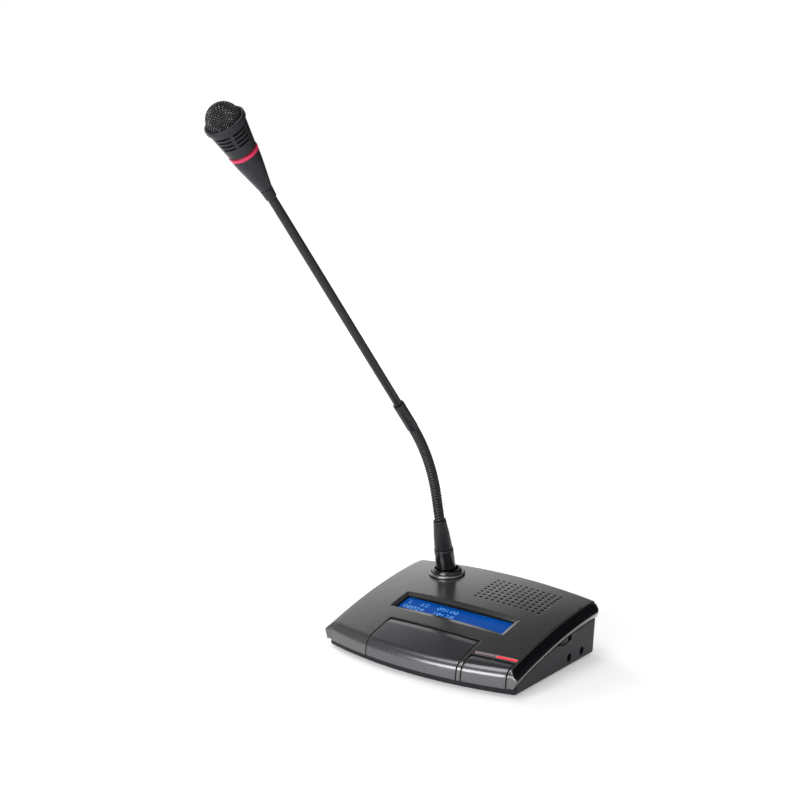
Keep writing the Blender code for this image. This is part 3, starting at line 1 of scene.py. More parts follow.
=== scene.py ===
# %% [markdown]
# # A conference delegate unit, dressed for a photograph
#
# The unit is a low desk case with two keys, a display and a speaker, and a microphone on a long arm.
# Its solids were made and packed beforehand, and this script puts finer surfaces and real finishes
# over them. Nearly every surface here is a formula worked out with numpy, so that one number can be
# changed and the whole piece follows.

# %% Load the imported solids
import math

import bmesh
import bpy
import numpy as np
from mathutils import Matrix, Vector
from mathutils.geometry import delaunay_2d_cdt


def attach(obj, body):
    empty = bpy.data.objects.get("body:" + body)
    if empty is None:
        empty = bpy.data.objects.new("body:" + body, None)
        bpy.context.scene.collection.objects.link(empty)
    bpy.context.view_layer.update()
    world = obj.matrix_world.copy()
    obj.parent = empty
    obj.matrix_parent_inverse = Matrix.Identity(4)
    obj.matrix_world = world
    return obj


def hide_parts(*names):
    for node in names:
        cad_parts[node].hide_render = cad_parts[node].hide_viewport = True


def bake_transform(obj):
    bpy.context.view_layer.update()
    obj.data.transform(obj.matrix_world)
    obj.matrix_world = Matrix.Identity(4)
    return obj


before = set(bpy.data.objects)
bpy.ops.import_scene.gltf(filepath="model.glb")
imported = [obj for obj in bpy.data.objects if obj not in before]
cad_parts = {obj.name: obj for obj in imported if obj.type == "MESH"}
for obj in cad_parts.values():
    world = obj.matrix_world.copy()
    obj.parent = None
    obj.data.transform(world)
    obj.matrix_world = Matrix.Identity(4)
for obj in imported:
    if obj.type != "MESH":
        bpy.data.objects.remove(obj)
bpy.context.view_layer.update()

# %% [markdown]
# ## The sizes that everything shares
#
# The finer surfaces have to meet the solids exactly, so they start from the same measures, in metres.
# The origin is in the middle of the underside, X runs to the right of the person at the unit,
# Y to the rear and Z up.

# %% Measures of the case
GAP = 0.0003
HALF_DEPTH = 0.0628
HALF_WIDTH_FRONT = 0.0760
HALF_WIDTH_REAR = 0.0779
FRONT_BULGE = 0.01225
REAR_BULGE = 0.0054
HEIGHT_FRONT = 0.0191
HEIGHT_MIDDLE = 0.0341
HEIGHT_REAR = 0.0409
CROWN = 0.0029
COVER_WALL = 0.0025
CREASE_RADIUS = 0.0082
LIP_BOTTOM = 0.0068
CHAMFER_WIDTH = 0.0071
CHAMFER_DROP = 0.0054
TRIM_EDGE = 0.0012
TRIM_DEPTH = 0.0115
WALL_OUTSET = 0.0041
LIP_SETBACK = 0.0033
REAR_SETBACK = 0.0024
CASE_WALL = 0.0025
CASE_EDGE = 0.0016
RIM_EDGE = 0.0002
CORNER_REAR = 0.0004
REAR_WALL = HALF_DEPTH - REAR_SETBACK
CASE_BOTTOM = 0.0015
FLOOR_TOP = 0.0035

# %% Measures of the keys, the display and the openings
KEY_WALL = 0.0022
KEY_GAP = 0.0008
SPEAK_SIDE = 0.03825
SPEAK_BACK = -0.0405
PRIORITY_LEFT, PRIORITY_RIGHT = 0.0425, 0.0742
PRIORITY_BACK_LEFT, PRIORITY_BACK_RIGHT = -0.0566, -0.0520
INDICATOR_LEFT, INDICATOR_RIGHT = 0.0428, 0.0742
INDICATOR_Y_LEFT, INDICATOR_Y_RIGHT = -0.0535, -0.0482
INDICATOR_WIDTH = 0.0018
DISPLAY_Y = -0.0133
DISPLAY_HALF = np.array((0.0513, 0.0149))
WINDOW_HALF = np.array((0.0467, 0.0096))
WINDOW_DEPTH = 0.0036
BEVEL_DROP = 0.0013
RECESS_WALL = 0.0018
SPEAKER_PLACE = np.array((0.0287, 0.0334))
GRILLE_PITCH = 0.0050
GRILLE_COUNTS = (12, 8)
GRILLE_HOLE_RADIUS = 0.00095
WHEEL_PLACE = np.array((0.072824, 0.0115, 0.0243))
WHEEL_RADIUS = 0.0097
JACK_Y = (0.0204, 0.0402)
JACK_Z = 0.0082
JACK_MOUTH_RADIUS = 0.0032
TRUNK_X = (-0.0130, 0.0130)
TRUNK_Z = 0.0183
TRUNK_RADIUS = 0.0068
SCREW_PLACES = ((-0.071, -0.020), (0.071, -0.020), (-0.070, 0.053), (0.070, 0.053))
MIC_PLACE = np.array((-0.0415, 0.0432))
MIC_OPENING = 0.0133
BOARD_POSTS = [(x, y, 0.0077) for x in (-0.0588, 0.0544) for y in (-0.0180, 0.0500)]
BOARD_POSTS += [(-0.028, -0.05425, 0.0083), (0.054, -0.05425, 0.0083)]

# %% [markdown]
# ## The camera
#
# The photograph was taken from the unit's front right, a little above it, with a long lens.
# A camera looks along its own -Z, so its matrix is three directions, right, up and back, and a place.
# The small roll is in the photograph too.

# %% Camera
AZIMUTH, ELEVATION, ROLL = (math.radians(angle) for angle in (32.7406, 11.0361, 3.0027))
camera_place = Vector((0.56581, -0.98334, 0.41183))
back = Vector((math.sin(AZIMUTH) * math.cos(ELEVATION), -math.cos(AZIMUTH) * math.cos(ELEVATION),
               math.sin(ELEVATION)))
level = Vector((math.cos(AZIMUTH), math.sin(AZIMUTH), 0))
upward = back.cross(level)
right = level * math.cos(ROLL) + upward * math.sin(ROLL)
camera = bpy.data.objects.new("camera", bpy.data.cameras.new("camera"))
camera.matrix_world = Matrix.Translation(camera_place) @ Matrix(
    (right, back.cross(right), back)).transposed().to_4x4()
camera.data.lens = 70.51
camera.data.clip_start = 0.05
camera.data.clip_end = 50
bpy.context.scene.collection.objects.link(camera)
bpy.context.scene.camera = camera
print("camera:", [round(value, 3) for value in camera.location])

# %% [markdown]
# ## Finishes
#
# Every finish is a Principled shader with its patterns worked out from the object's own coordinates,
# so no picture is needed and no piece shows a seam. A broad noise mixes two close colours, as paint
# and moulded plastic do, and a fine grain changes the roughness and is a small bump.

# %% Helpers for finishes


def srgb(*levels):
    """Levels of 0 to 255, as on a screen, turned to the linear colour that shaders mix."""
    share = np.array(levels) / 255
    linear = np.where(share <= 0.04045, share / 12.92, ((share + 0.055) / 1.055) ** 2.4)
    return (*(float(value) for value in linear), 1.0)


def node(tree, kind, inputs, **settings):
    """A new node: each input is linked where it gets a socket, and set where it gets a number."""
    made = tree.nodes.new(kind)
    for name, value in settings.items():
        setattr(made, name, value)
    for name, value in inputs.items():
        if isinstance(value, bpy.types.NodeSocket):
            tree.links.new(value, made.inputs[name])
        else:
            made.inputs[name].default_value = value
    return made


def mixed(tree, share, first, second):
    """The first colour where share is 0 and the second where it is 1."""
    return node(tree, "ShaderNodeMix", {0: share, 6: first, 7: second}, data_type="RGBA").outputs[2]


def ranged(tree, value, low, high, to_low=0.0, to_high=1.0):
    """A value between low and high, stretched to run from to_low to to_high."""
    inputs = {"Value": value, "From Min": low, "From Max": high, "To Min": to_low, "To Max": to_high}
    return node(tree, "ShaderNodeMapRange", inputs).outputs["Result"]


def noise(tree, place, size, detail=3.0):
    """Soft random values whose blobs are about size metres across."""
    inputs = {"Vector": place, "Scale": 1 / size, "Detail": detail}
    return node(tree, "ShaderNodeTexNoise", inputs).outputs["Fac"]


def calculated(tree, operation, *values, **settings):
    """One step of arithmetic on numbers and sockets."""
    return node(tree, "ShaderNodeMath", dict(enumerate(values)), operation=operation, **settings).outputs[0]


def along_vector(tree, place, direction):
    """How far a place lies along a direction: their dot product."""
    inputs = {0: place, 1: Vector(direction)}
    return node(tree, "ShaderNodeVectorMath", inputs, operation="DOT_PRODUCT").outputs["Value"]


def brick_lines(tree, place, scale, width, brick, offset):
    """White on the mortar between bricks of (width, height), black on the bricks."""
    inputs = {"Vector": place, "Scale": scale, "Mortar Size": width, "Brick Width": brick[0],
              "Row Height": brick[1], "Color1": srgb(0, 0, 0), "Color2": srgb(0, 0, 0),
              "Mortar": srgb(255, 255, 255)}
    return node(tree, "ShaderNodeTexBrick", inputs, offset=offset).outputs["Color"]


def opened(made):
    """A finish's tree, its shader's inputs, its pattern of colours and the object's coordinates."""
    tree = made.node_tree
    shader = tree.nodes["Principled BSDF"]
    pattern = shader.inputs["Base Color"].links[0].from_socket
    return tree, shader.inputs, pattern, tree.nodes["Texture Coordinate"].outputs["Object"]


def finish(name, colours, cloud, roughness, grain, stretch=(1, 1, 1), **constants):
    """Two screen colours in clouds of a size, a range of roughness and a grain of (size, height). The
    constants go straight to the shader's sockets."""
    made = bpy.data.materials.new(name)
    made.use_nodes = True
    tree = made.node_tree
    shader = tree.nodes["Principled BSDF"]
    place = node(tree, "ShaderNodeTexCoord", {}).outputs["Object"]
    place = node(tree, "ShaderNodeMapping", {"Vector": place, "Scale": stretch}).outputs["Vector"]
    clouds = ranged(tree, noise(tree, place, cloud), 0.3, 0.7)
    pattern = mixed(tree, clouds, *(srgb(*levels) for levels in colours))
    tree.links.new(pattern, shader.inputs["Base Color"])
    fine = noise(tree, place, grain[0], 2.0)
    tree.links.new(ranged(tree, fine, 0.3, 0.7, *roughness), shader.inputs["Roughness"])
    bump = node(tree, "ShaderNodeBump", {"Height": fine, "Distance": grain[1], "Strength": 1.0})
    tree.links.new(bump.outputs["Normal"], shader.inputs["Normal"])
    for socket, value in constants.items():
        shader.inputs[socket.replace("_", " ")].default_value = value
    return made


# %% [markdown]
# The cover is lacquered in a gunmetal grey with fine metal flakes, and its clear coat gives the soft
# reflections of the arm. The side inlays are black and polished. The tub below is moulded in a
# fine-grained dark plastic with a slight blue cast.

# %% Finishes of the case
gunmetal = finish("gunmetal_lacquer", ((110, 110, 110), (114, 114, 114)), 0.0006, (0.24, 0.31),
                  (0.0004, 0.0000006), Metallic=0.86, Coat_Weight=0.6, Coat_Roughness=0.14)
key_grey = finish("key_lacquer", ((105, 105, 110), (111, 111, 116)), 0.0006, (0.24, 0.31),
                  (0.0004, 0.0000006), Metallic=0.88, Coat_Weight=0.5, Coat_Roughness=0.16)
black_gloss = finish("polished_black", ((5, 5, 10), (10, 10, 16)), 0.004, (0.05, 0.10),
                     (0.0015, 0.000001))
case_dark = finish("moulded_dark_plastic", ((23, 24, 32), (30, 31, 40)), 0.002, (0.40, 0.55),
                   (0.00035, 0.000012), Specular_IOR_Level=0.35)
rubber = finish("pad_rubber", ((20, 20, 21), (32, 32, 33)), 0.003, (0.75, 0.95),
                (0.0004, 0.00003))

# %% Finishes of the arm and the head
arm_black = finish("arm_satin_black", ((27, 27, 31), (35, 35, 40)), 0.003, (0.34, 0.46),
                   (0.00025, 0.000006))
sleeve_black = finish("sleeve_gloss_black", ((8, 8, 13), (14, 14, 19)), 0.003, (0.14, 0.22),
                      (0.001, 0.000003), Coat_Weight=0.5, Coat_Roughness=0.06)
head_black = finish("head_powder_black", ((42, 43, 48), (52, 53, 59)), 0.002, (0.34, 0.44),
                    (0.0002, 0.000006), Metallic=0.4)
wire_black = finish("woven_wire_black", ((68, 68, 71), (114, 114, 117)), 0.0006, (0.20, 0.32),
                    (0.0002, 0.000004), Metallic=0.8)
# This near-black finish is the ball's foam, and it also paints shade on faces deep in holes, slots and
# gaps.
foam_and_painted_shade = finish("foam_and_painted_shade", ((6, 6, 6), (14, 14, 14)), 0.0008, (0.85, 1.0),
                    (0.0005, 0.0002))
ring_grey = finish("ring_satin_grey", ((142, 142, 144), (160, 160, 162)), 0.003, (0.24, 0.34),
                   (0.0004, 0.000002), Metallic=0.95)

# %% Finishes inside the case
steel = finish("brushed_steel", ((170, 170, 172), (196, 196, 198)), 0.001, (0.22, 0.40),
               (0.0002, 0.000004), (1, 8, 8), Metallic=1.0)
white_plastic = finish("white_plastic", ((216, 216, 210), (228, 228, 222)), 0.002, (0.4, 0.5),
                       (0.0004, 0.000006))
cone_paper = finish("cone_paper", ((26, 26, 26), (40, 39, 37)), 0.0008, (0.8, 0.95),
                    (0.0006, 0.00004))
cable_black = finish("cable_jacket", ((22, 22, 22), (32, 32, 32)), 0.002, (0.5, 0.7),
                     (0.0003, 0.00001))
print("finishes:", len(bpy.data.materials))

# %% [markdown]
# A circuit board shows straight copper tracks under its green varnish. The mortar lines of a brick
# pattern are a quick stand-in for them, and a cell pattern gives the round solder pads.

# %% Circuit board


def circuit_board():
    """Green varnish, with lighter tracks where the bricks' mortar is and tin pads at cell centres."""
    made = finish("circuit_board", ((14, 70, 38), (20, 84, 46)), 0.004, (0.3, 0.45),
                  (0.0005, 0.000004), Coat_Weight=0.4)
    tree, inputs, varnish, place = opened(made)
    tracks = brick_lines(tree, place, 120.0, 0.06, (0.5, 0.25), 0.5)
    pads = node(tree, "ShaderNodeTexVoronoi", {"Vector": place, "Scale": 180.0}).outputs["Distance"]
    copper = mixed(tree, tracks, varnish, srgb(40, 120, 62))
    tinned = mixed(tree, ranged(tree, pads, 0.20, 0.16), copper, srgb(176, 176, 168))
    tree.links.new(tinned, inputs["Base Color"])
    return made


board_green = circuit_board()
print("board:", len(board_green.node_tree.nodes), "nodes")

# %% [markdown]
# The display is lit from behind, so its blue is an emission, with the faint grid of its cells, one
# cell to a dot. The light ring of the head is a red light guide, and its glow is uneven, brighter in
# patches near the lamps inside. The window over the display is clear and mirrors little.

# %% Glowing and clear finishes
DOT = 0.00062


def glowing(name, colours, cloud, strength, roughness):
    """A finish that also shines: its own pattern of colours goes to the emission as well."""
    made = finish(name, colours, cloud, roughness, (0.0008, 0.000002), Emission_Strength=strength)
    tree, inputs, pattern, _ = opened(made)
    tree.links.new(pattern, inputs["Emission Color"])
    return made


def backlit_display():
    """Blue cells 0.62 mm apart: the mortar of a brick pattern without any shift draws their grid."""
    made = finish("backlit_blue", ((2, 8, 30), (3, 11, 38)), 0.03, (0.2, 0.3), (0.0008, 0.000002),
                  Emission_Strength=0.85, Specular_IOR_Level=0.0)
    tree, inputs, _, place = opened(made)
    blue = mixed(tree, ranged(tree, noise(tree, place, 0.03), 0.3, 0.7), srgb(4, 78, 168), srgb(6, 88, 182))
    cells = brick_lines(tree, place, 1 / DOT, 0.09, (1.0, 1.0), 0.0)
    tree.links.new(mixed(tree, cells, blue, srgb(0, 62, 142)), inputs["Emission Color"])
    return made


display_blue = backlit_display()
display_dots = glowing("display_dots", ((78, 132, 192), (94, 148, 202)), 0.002, 0.5, (0.3, 0.4))
clear_glass = finish("window_glass", ((250, 252, 255), (255, 255, 255)), 0.01, (0.0, 0.02),
                     (0.004, 0.0000005), Transmission_Weight=1.0, IOR=1.08)
print("glowing finishes ready")

# %% [markdown]
# ## From numbers to meshes
#
# A surface on a grid is an array of points with rows and columns, and its faces follow from the
# grid alone. A piece is one or more such sheets, welded where they meet. Its hard edges are marked by
# angle, and every other edge is shaded smooth.

# %% Sheets and pieces


def unit(vectors):
    """The same directions, each with a length of one."""
    return vectors / np.linalg.norm(vectors, axis=-1, keepdims=True)


def circle_angles(count, direction=1):
    """The angles of count points, evenly round a circle."""
    return direction * 2 * math.pi * np.arange(count) / count


def grid_faces(rows, columns, around=False, closed=False):
    """The four corners of every cell; around joins the last column to the first, closed the rows."""
    i, j = np.meshgrid(np.arange(rows - (not closed)), np.arange(columns - (not around)), indexing="ij")
    next_i = (i + 1) % rows
    next_j = (j + 1) % columns
    cells = (i * columns + j, i * columns + next_j, next_i * columns + next_j, next_i * columns + j)
    return np.stack(cells, -1).reshape(-1, 4).tolist()


def piece(name, sheets, look, body, nodes, slot, sharp=35.0, painted_shade_look=None):
    """One welded mesh of (points, faces) sheets that rides on a body and replaces nodes of the CAD.
    A second finish, if given, paints shade on the faces that a sheet's own third part marks with 1."""
    points = [np.asarray(sheet[0], float).reshape(-1, 3) for sheet in sheets]
    starts = np.cumsum([0] + [len(sheet) for sheet in points])
    faces = [[start + corner for corner in face]
             for start, sheet in zip(starts, sheets) for face in sheet[1]]
    mesh = bpy.data.meshes.new(name)
    mesh.from_pydata(np.concatenate(points), [], faces)
    if painted_shade_look:
        marks = [np.broadcast_to(sheet[2] if len(sheet) > 2 else 0, len(sheet[1])) for sheet in sheets]
        mesh.polygons.foreach_set("material_index", np.concatenate(marks).astype(np.int32))
    shape = bmesh.new()
    shape.from_mesh(mesh)
    bmesh.ops.remove_doubles(shape, verts=shape.verts, dist=0.000002)
    bmesh.ops.dissolve_degenerate(shape, edges=shape.edges, dist=0.000001)
    bmesh.ops.recalc_face_normals(shape, faces=shape.faces)
    shape.to_mesh(mesh)
    shape.free()
    mesh.shade_smooth()
    mesh.set_sharp_from_angle(angle=math.radians(sharp))
    mesh.materials.append(look)
    if painted_shade_look:
        mesh.materials.append(painted_shade_look)
    made = bpy.data.objects.new(name, mesh)
    bpy.context.scene.collection.objects.link(made)
    if body:
        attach(made, body)
    if nodes:
        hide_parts(*nodes)
    print(name, len(mesh.polygons), "faces")
    return made


# %% [markdown]
# A profile drawn with straight lines gets its small roundings from one rule: each corner gives way
# to a short parabola that starts and ends a set distance from it. The light then catches every edge
# as it does on a moulded or turned part.

# %% Rounded profiles


def softened(profile, reach, closed=True, steps=4):
    """(1-t)²·a + 2t(1-t)·corner + t²·b, where a and b lie a reach before and after the corner."""
    corner = np.asarray(profile, float)
    to_before = np.roll(corner, 1, 0) - corner
    to_after = np.roll(corner, -1, 0) - corner
    before_length = np.linalg.norm(to_before, axis=1, keepdims=True)
    after_length = np.linalg.norm(to_after, axis=1, keepdims=True)
    cut = np.minimum(reach, 0.45 * np.minimum(before_length, after_length))
    a = corner + to_before / before_length * cut
    b = corner + to_after / after_length * cut
    if not closed:
        a[0], b[0], a[-1], b[-1] = corner[0], corner[0], corner[-1], corner[-1]
    t = np.linspace(0, 1, steps)[None, :, None]
    curve = (1 - t) ** 2 * a[:, None] + 2 * t * (1 - t) * corner[:, None] + t ** 2 * b[:, None]
    return curve.reshape(-1, corner.shape[1])


print("a square has", len(softened([(0, 0), (1, 0), (1, 1), (0, 1)], 0.1)), "points when softened")

# %% [markdown]
# ## The top of the case
#
# Seen from the side, the top is a gentle parabola from front to rear, and across it there is a slight
# crown. At the front it turns down over a crease into an upright lip. The whole skin is one function
# of x and of a second number that runs like y on the top, then follows the crease and the lip down.

# %% The top as a function


def half_width(y):
    """Half the width of the top: a straight line from the front's to the rear's."""
    middle = (HALF_WIDTH_FRONT + HALF_WIDTH_REAR) / 2
    return middle + (HALF_WIDTH_REAR - HALF_WIDTH_FRONT) / 2 * y / HALF_DEPTH


def edge_height(y):
    """The parabola through the front, middle and rear heights of the side edge."""
    share = y / HALF_DEPTH
    sag = (HEIGHT_REAR + HEIGHT_FRONT) / 2 - HEIGHT_MIDDLE
    return HEIGHT_MIDDLE + (HEIGHT_REAR - HEIGHT_FRONT) / 2 * share + sag * share ** 2


def top_height(x, y):
    """The side edge's height plus a crown that falls with the square of x."""
    return edge_height(y) + CROWN * (1 - (x / half_width(y)) ** 2)


def front_edge(x):
    """The front's arc: furthest out in the middle, and falling back with the square of x."""
    return -HALF_DEPTH - FRONT_BULGE * (1 - (x / HALF_WIDTH_FRONT) ** 2)


def rear_edge(x):
    """The same at the rear, with its own bulge."""
    return HALF_DEPTH + REAR_BULGE * (1 - (x / HALF_WIDTH_REAR) ** 2)


def crease(x):
    """Where the crease starts along Y, and the lean of the top there."""
    behind = front_edge(x) + CREASE_RADIUS
    step = HALF_DEPTH / 1000
    lean = np.arctan((top_height(x, behind + step) - top_height(x, behind - step)) / (2 * step))
    return front_edge(x) + CREASE_RADIUS * (1 - np.sin(lean)), lean


def skin_place(x, along):
    """On the top, y is along. Before the crease's start, an arc turns from the lean to upright, and
    what is left of the way goes straight down the lip."""
    start, lean = crease(x)
    way = np.maximum(start - along, 0)
    turn = np.minimum(way / CREASE_RADIUS, math.pi / 2 - lean)
    below = way - CREASE_RADIUS * turn
    y = start - CREASE_RADIUS * (np.sin(lean + turn) - np.sin(lean))
    z = top_height(x, start) - CREASE_RADIUS * (np.cos(lean) - np.cos(lean + turn)) - below
    on_top = along > start
    return np.stack((x, np.where(on_top, along, y), np.where(on_top, top_height(x, along), z)), -1)


def skin(plan, depth=0.0):
    """The skin's place for a plan of (x, along), moved inwards by depth against its normal."""
    x, along = plan[..., 0], plan[..., 1]
    step = 0.00005
    across = skin_place(x + step, along) - skin_place(x - step, along)
    forth = skin_place(x, along + step) - skin_place(x, along - step)
    return skin_place(x, along) - unit(np.cross(across, forth)) * np.asarray(depth)[..., None]


def lip_end(x):
    """The along value at which the lip reaches its bottom edge."""
    start, lean = crease(x)
    arc = CREASE_RADIUS * (math.pi / 2 - lean)
    foot = top_height(x, start) - CREASE_RADIUS * np.cos(lean)
    return start - arc - (foot - LIP_BOTTOM)


print("top at the microphone:", round(float(top_height(*MIC_PLACE)) * 1000, 2), "mm")

# %% [markdown]
# ## A shell with holes
#
# The cover has nearly a hundred openings, and cutting them from a finished mesh would leave long
# slivers that spoil the reflections. Instead the plan is drawn flat: the outline and the holes as
# loops, and an even lattice of points between them. A triangulation joins them in the flat, and the
# skin's formula bends all of it at once. Every rim is rounded over and closed by an inner sheet.

# %% Loops in the flat plan


def even_loop(corners, spacing):
    """A closed loop through the corners, with points no further apart than the spacing."""
    corners = np.asarray(corners, float)
    ends = np.roll(corners, -1, 0)
    counts = np.maximum(1, np.ceil(np.linalg.norm(ends - corners, axis=1) / spacing)).astype(int)
    share = np.concatenate([np.arange(count) / count for count in counts])[:, None]
    return np.repeat(corners, counts, 0) * (1 - share) + np.repeat(ends, counts, 0) * share


def circle(centre, radius, sides):
    """Points evenly round a centre, clockwise, as a hole's loop has to run."""
    angle = circle_angles(sides, -1)
    return np.asarray(centre) + radius * np.stack((np.cos(angle), np.sin(angle)), -1)


def outward(loop):
    """The direction out of the solid at every point of a loop that keeps the solid on its left."""
    before = loop - np.roll(loop, 1, 0)
    after = np.roll(loop, -1, 0) - loop
    first, second = (unit(np.stack((edge[:, 1], -edge[:, 0]), -1)) for edge in (before, after))
    return (first + second) / (1 + (first * second).sum(1, keepdims=True))


def inside(points, loop):
    """Even-odd rule: a point is inside where a ray from it crosses the loop an odd number of times."""
    x, y = points[:, :1], points[:, 1:]
    start, end = loop, np.roll(loop, -1, 0)
    crosses = (start[:, 1] > y) != (end[:, 1] > y)
    rise = np.where(crosses, end[:, 1] - start[:, 1], 1)
    at = start[:, 0] + (y - start[:, 1]) * (end[:, 0] - start[:, 0]) / rise
    return (crosses & (x < at)).sum(1) % 2 == 1


def lattice(loops, spacing):
    """Points of an even lattice inside the first loop, outside the others and clear of them all."""
    low, high = loops[0].min(0), loops[0].max(0)
    axes = [np.arange(low[i] + spacing / 2, high[i], spacing) for i in (0, 1)]
    points = np.stack(np.meshgrid(*axes), -1).reshape(-1, 2)
    points = points[inside(points, loops[0])]
    for number, loop in enumerate(loops):
        near = ((points > loop.min(0) - spacing) & (points < loop.max(0) + spacing)).all(1)
        close = np.zeros(len(points), bool)
        distance = np.linalg.norm(points[near][:, None] - loop[None], axis=2).min(1)
        close[near] = distance < spacing * 0.6
        if number:
            close[near] |= inside(points[near], loop)
        points = points[~close]
    return points


# %% The shell of a plan
# Holes narrower than this get painted shade over their whole rim.
SMALL_HOLE = 0.004
BEHIND_RECESS = 1.2 * RECESS_WALL


def shell(name, outline, holes, surface, spacing, wall, edges, look, body, nodes, slot, recess=None,
          extras=()):
    """An outer sheet, rims rounded by edges (the outline's, the holes'), and an inner sheet at the
    wall's depth. What lies deeper than a rim's rounding, and the inner sheet, get painted shade, and
    small holes get painted shade from the rim on, so their rims show no glint. recess is (a hole's
    number, its rounding's radius, its bevel's slope, rows below the bevel), and the walls below its
    bevel get painted shade."""
    nominal = [even_loop(outline, spacing)] + [np.asarray(hole) for hole in holes]
    outs = [outward(loop) for loop in nominal]
    rounds = [(edges[min(number, 1)], math.pi / 2) for number in range(len(nominal))]
    if recess:
        rounds[recess[0] + 1] = recess[1:3]
    loops = [loop - out * radius * math.tan(angle / 2)
             for loop, out, (radius, angle) in zip(nominal, outs, rounds)]
    plan = np.concatenate(loops + [lattice(loops, spacing)])
    starts = np.cumsum([0] + [len(loop) for loop in loops])
    borders = [(start + i, start + (i + 1) % len(loop))
               for start, loop in zip(starts, loops) for i in range(len(loop))]
    points = [Vector(point) for point in plan]
    _, _, triangles, origins, _, _ = delaunay_2d_cdt(points, borders, [], 0, 1e-9)
    triangles = np.array([origin[0] for origin in origins])[np.array(triangles)]
    middles = plan[triangles].mean(1)
    keep = inside(middles, loops[0])
    for loop in loops[1:]:
        keep &= ~inside(middles, loop)
    triangles = triangles[keep]
    inner_plan = plan.copy()
    for start, loop, out in zip(starts, nominal, outs):
        inner_plan[start:start + len(loop)] = loop
    inner = surface(inner_plan, np.full(len(plan), wall))
    sheets = [(surface(plan), triangles.tolist())]
    for number, (loop, out, start, (radius, angle)) in enumerate(zip(loops, outs, starts, rounds)):
        turns = np.linspace(0, angle, 5)[:, None, None]
        rim = loop + out * radius * np.sin(turns)
        depth = np.broadcast_to(radius * (1 - np.cos(turns[..., 0])), rim.shape[:2])
        rows = list(surface(rim, depth))
        # Faces from row lit on get painted shade: below the rounding, and for a small hole the whole rim.
        lit = 0 if np.ptp(loop[:, 0]) < SMALL_HOLE else len(rows) - 1
        # The recess gets painted shade from the bottom of its bevel down.
        if recess and number == recess[0] + 1:
            rows += recess[3]
            lit += 1
            behind = loop - out * BEHIND_RECESS
            inner[start:start + len(loop)] = surface(behind, np.full(len(loop), wall))
        rows.append(inner[start:start + len(loop)])
        sheets.append((np.array(rows), grid_faces(len(rows), len(loop), True),
                       np.repeat(np.arange(len(rows) - 1) >= lit, len(loop))))
    # The inner sheet gets painted shade all over.
    sheets.append((inner, triangles[:, ::-1].tolist(), 1))
    return piece(name, sheets + list(extras), look, body, nodes, slot, painted_shade_look=foam_and_painted_shade)


# %% [markdown]
# ## The cover
#
# The display sits in a recess with four sloping sides. The recess is a flat-sided funnel in its own
# tilted frame, so its upper edge is where those sides meet the curved skin: a few rounds of putting
# the skin's height back into the funnel's formula find it. A shallow bevel follows the skin's edge, and
# steep walls go on down to the window. The steep walls get painted shade.

# %% Frames that lie on the skin


def skin_frame(x, y):
    """Origin and three directions: along +X on the skin, backwards, and the skin's normal."""
    step = 0.00006
    slope_x = (top_height(x + step, y) - top_height(x - step, y)) / (2 * step)
    slope_y = (top_height(x, y + step) - top_height(x, y - step)) / (2 * step)
    normal = unit(np.array((-slope_x, -slope_y, 1.0)))
    across = unit(np.array((1.0, 0.0, slope_x)))
    return np.array((x, y, top_height(x, y))), np.stack((across, np.cross(normal, across), normal))


display_origin, display_axes = skin_frame(0.0, DISPLAY_Y)


def display_point(x, y, height):
    """A point in the display's frame, as a place in the scene."""
    local = np.stack(np.broadcast_arrays(x, y, height), -1)
    return display_origin + local @ display_axes


def funnel(signs, height, grow=0.0):
    """The recess's section at a height: its half sizes run straight from the window's to the edge's."""
    share = (1 + height / WINDOW_DEPTH)[..., None]
    half = WINDOW_HALF + (DISPLAY_HALF - WINDOW_HALF) * share + grow
    return display_point(signs[..., 0] * half[..., 0], signs[..., 1] * half[..., 1], height)


recess_signs = even_loop([(-1, -1), (-1, 1), (1, 1), (1, -1)], 0.05)
height = np.zeros(len(recess_signs))
for _ in range(8):
    spot = funnel(recess_signs, height)
    height += (top_height(spot[:, 0], spot[:, 1]) - spot[:, 2]) / display_axes[2, 2]
recess_loop = funnel(recess_signs, height)[:, :2]
window_floor = np.full(len(recess_signs), -WINDOW_DEPTH)
window_edge = recess_signs * WINDOW_HALF
recess_rows = [display_point(window_edge[:, 0], window_edge[:, 1], height - BEVEL_DROP),
               funnel(recess_signs, window_floor), funnel(recess_signs, window_floor, RECESS_WALL)]
print("the recess is", round(float(np.ptp(recess_loop[:, 0])) * 1000, 1), "mm wide at the skin")

# %% [markdown]
# The outline goes once round the plan, with a notch for each key and rounded rear corners. All its
# corners are given in order, so that the solid is always on the left, and the holes run the other way
# round for the same reason.

# %% Outline and openings of the cover


def slanted(left, right, y_left, y_right):
    """The straight line from (left, y_left) to (right, y_right), as a function of x."""
    return lambda x: y_left + (y_right - y_left) * ((x - left) / (right - left))


speak_back = slanted(-SPEAK_SIDE, SPEAK_SIDE, SPEAK_BACK, SPEAK_BACK)
priority_back = slanted(PRIORITY_LEFT, PRIORITY_RIGHT, PRIORITY_BACK_LEFT, PRIORITY_BACK_RIGHT)
indicator_y = slanted(INDICATOR_LEFT, INDICATOR_RIGHT, INDICATOR_Y_LEFT, INDICATOR_Y_RIGHT)


def line_of_x(first, last, of_x, count=12):
    """Points along a function of x."""
    x = np.linspace(first, last, count)
    return np.stack((x, of_x(x)), -1)


def notch(left, right, back_at):
    """Round a key from its left foot to its right one, with the key's gap on all sides."""
    low, high = left - KEY_GAP, right + KEY_GAP
    return np.array([(low, lip_end(low)), (low, back_at(low) + KEY_GAP),
                     (high, back_at(high) + KEY_GAP), (high, lip_end(high))])


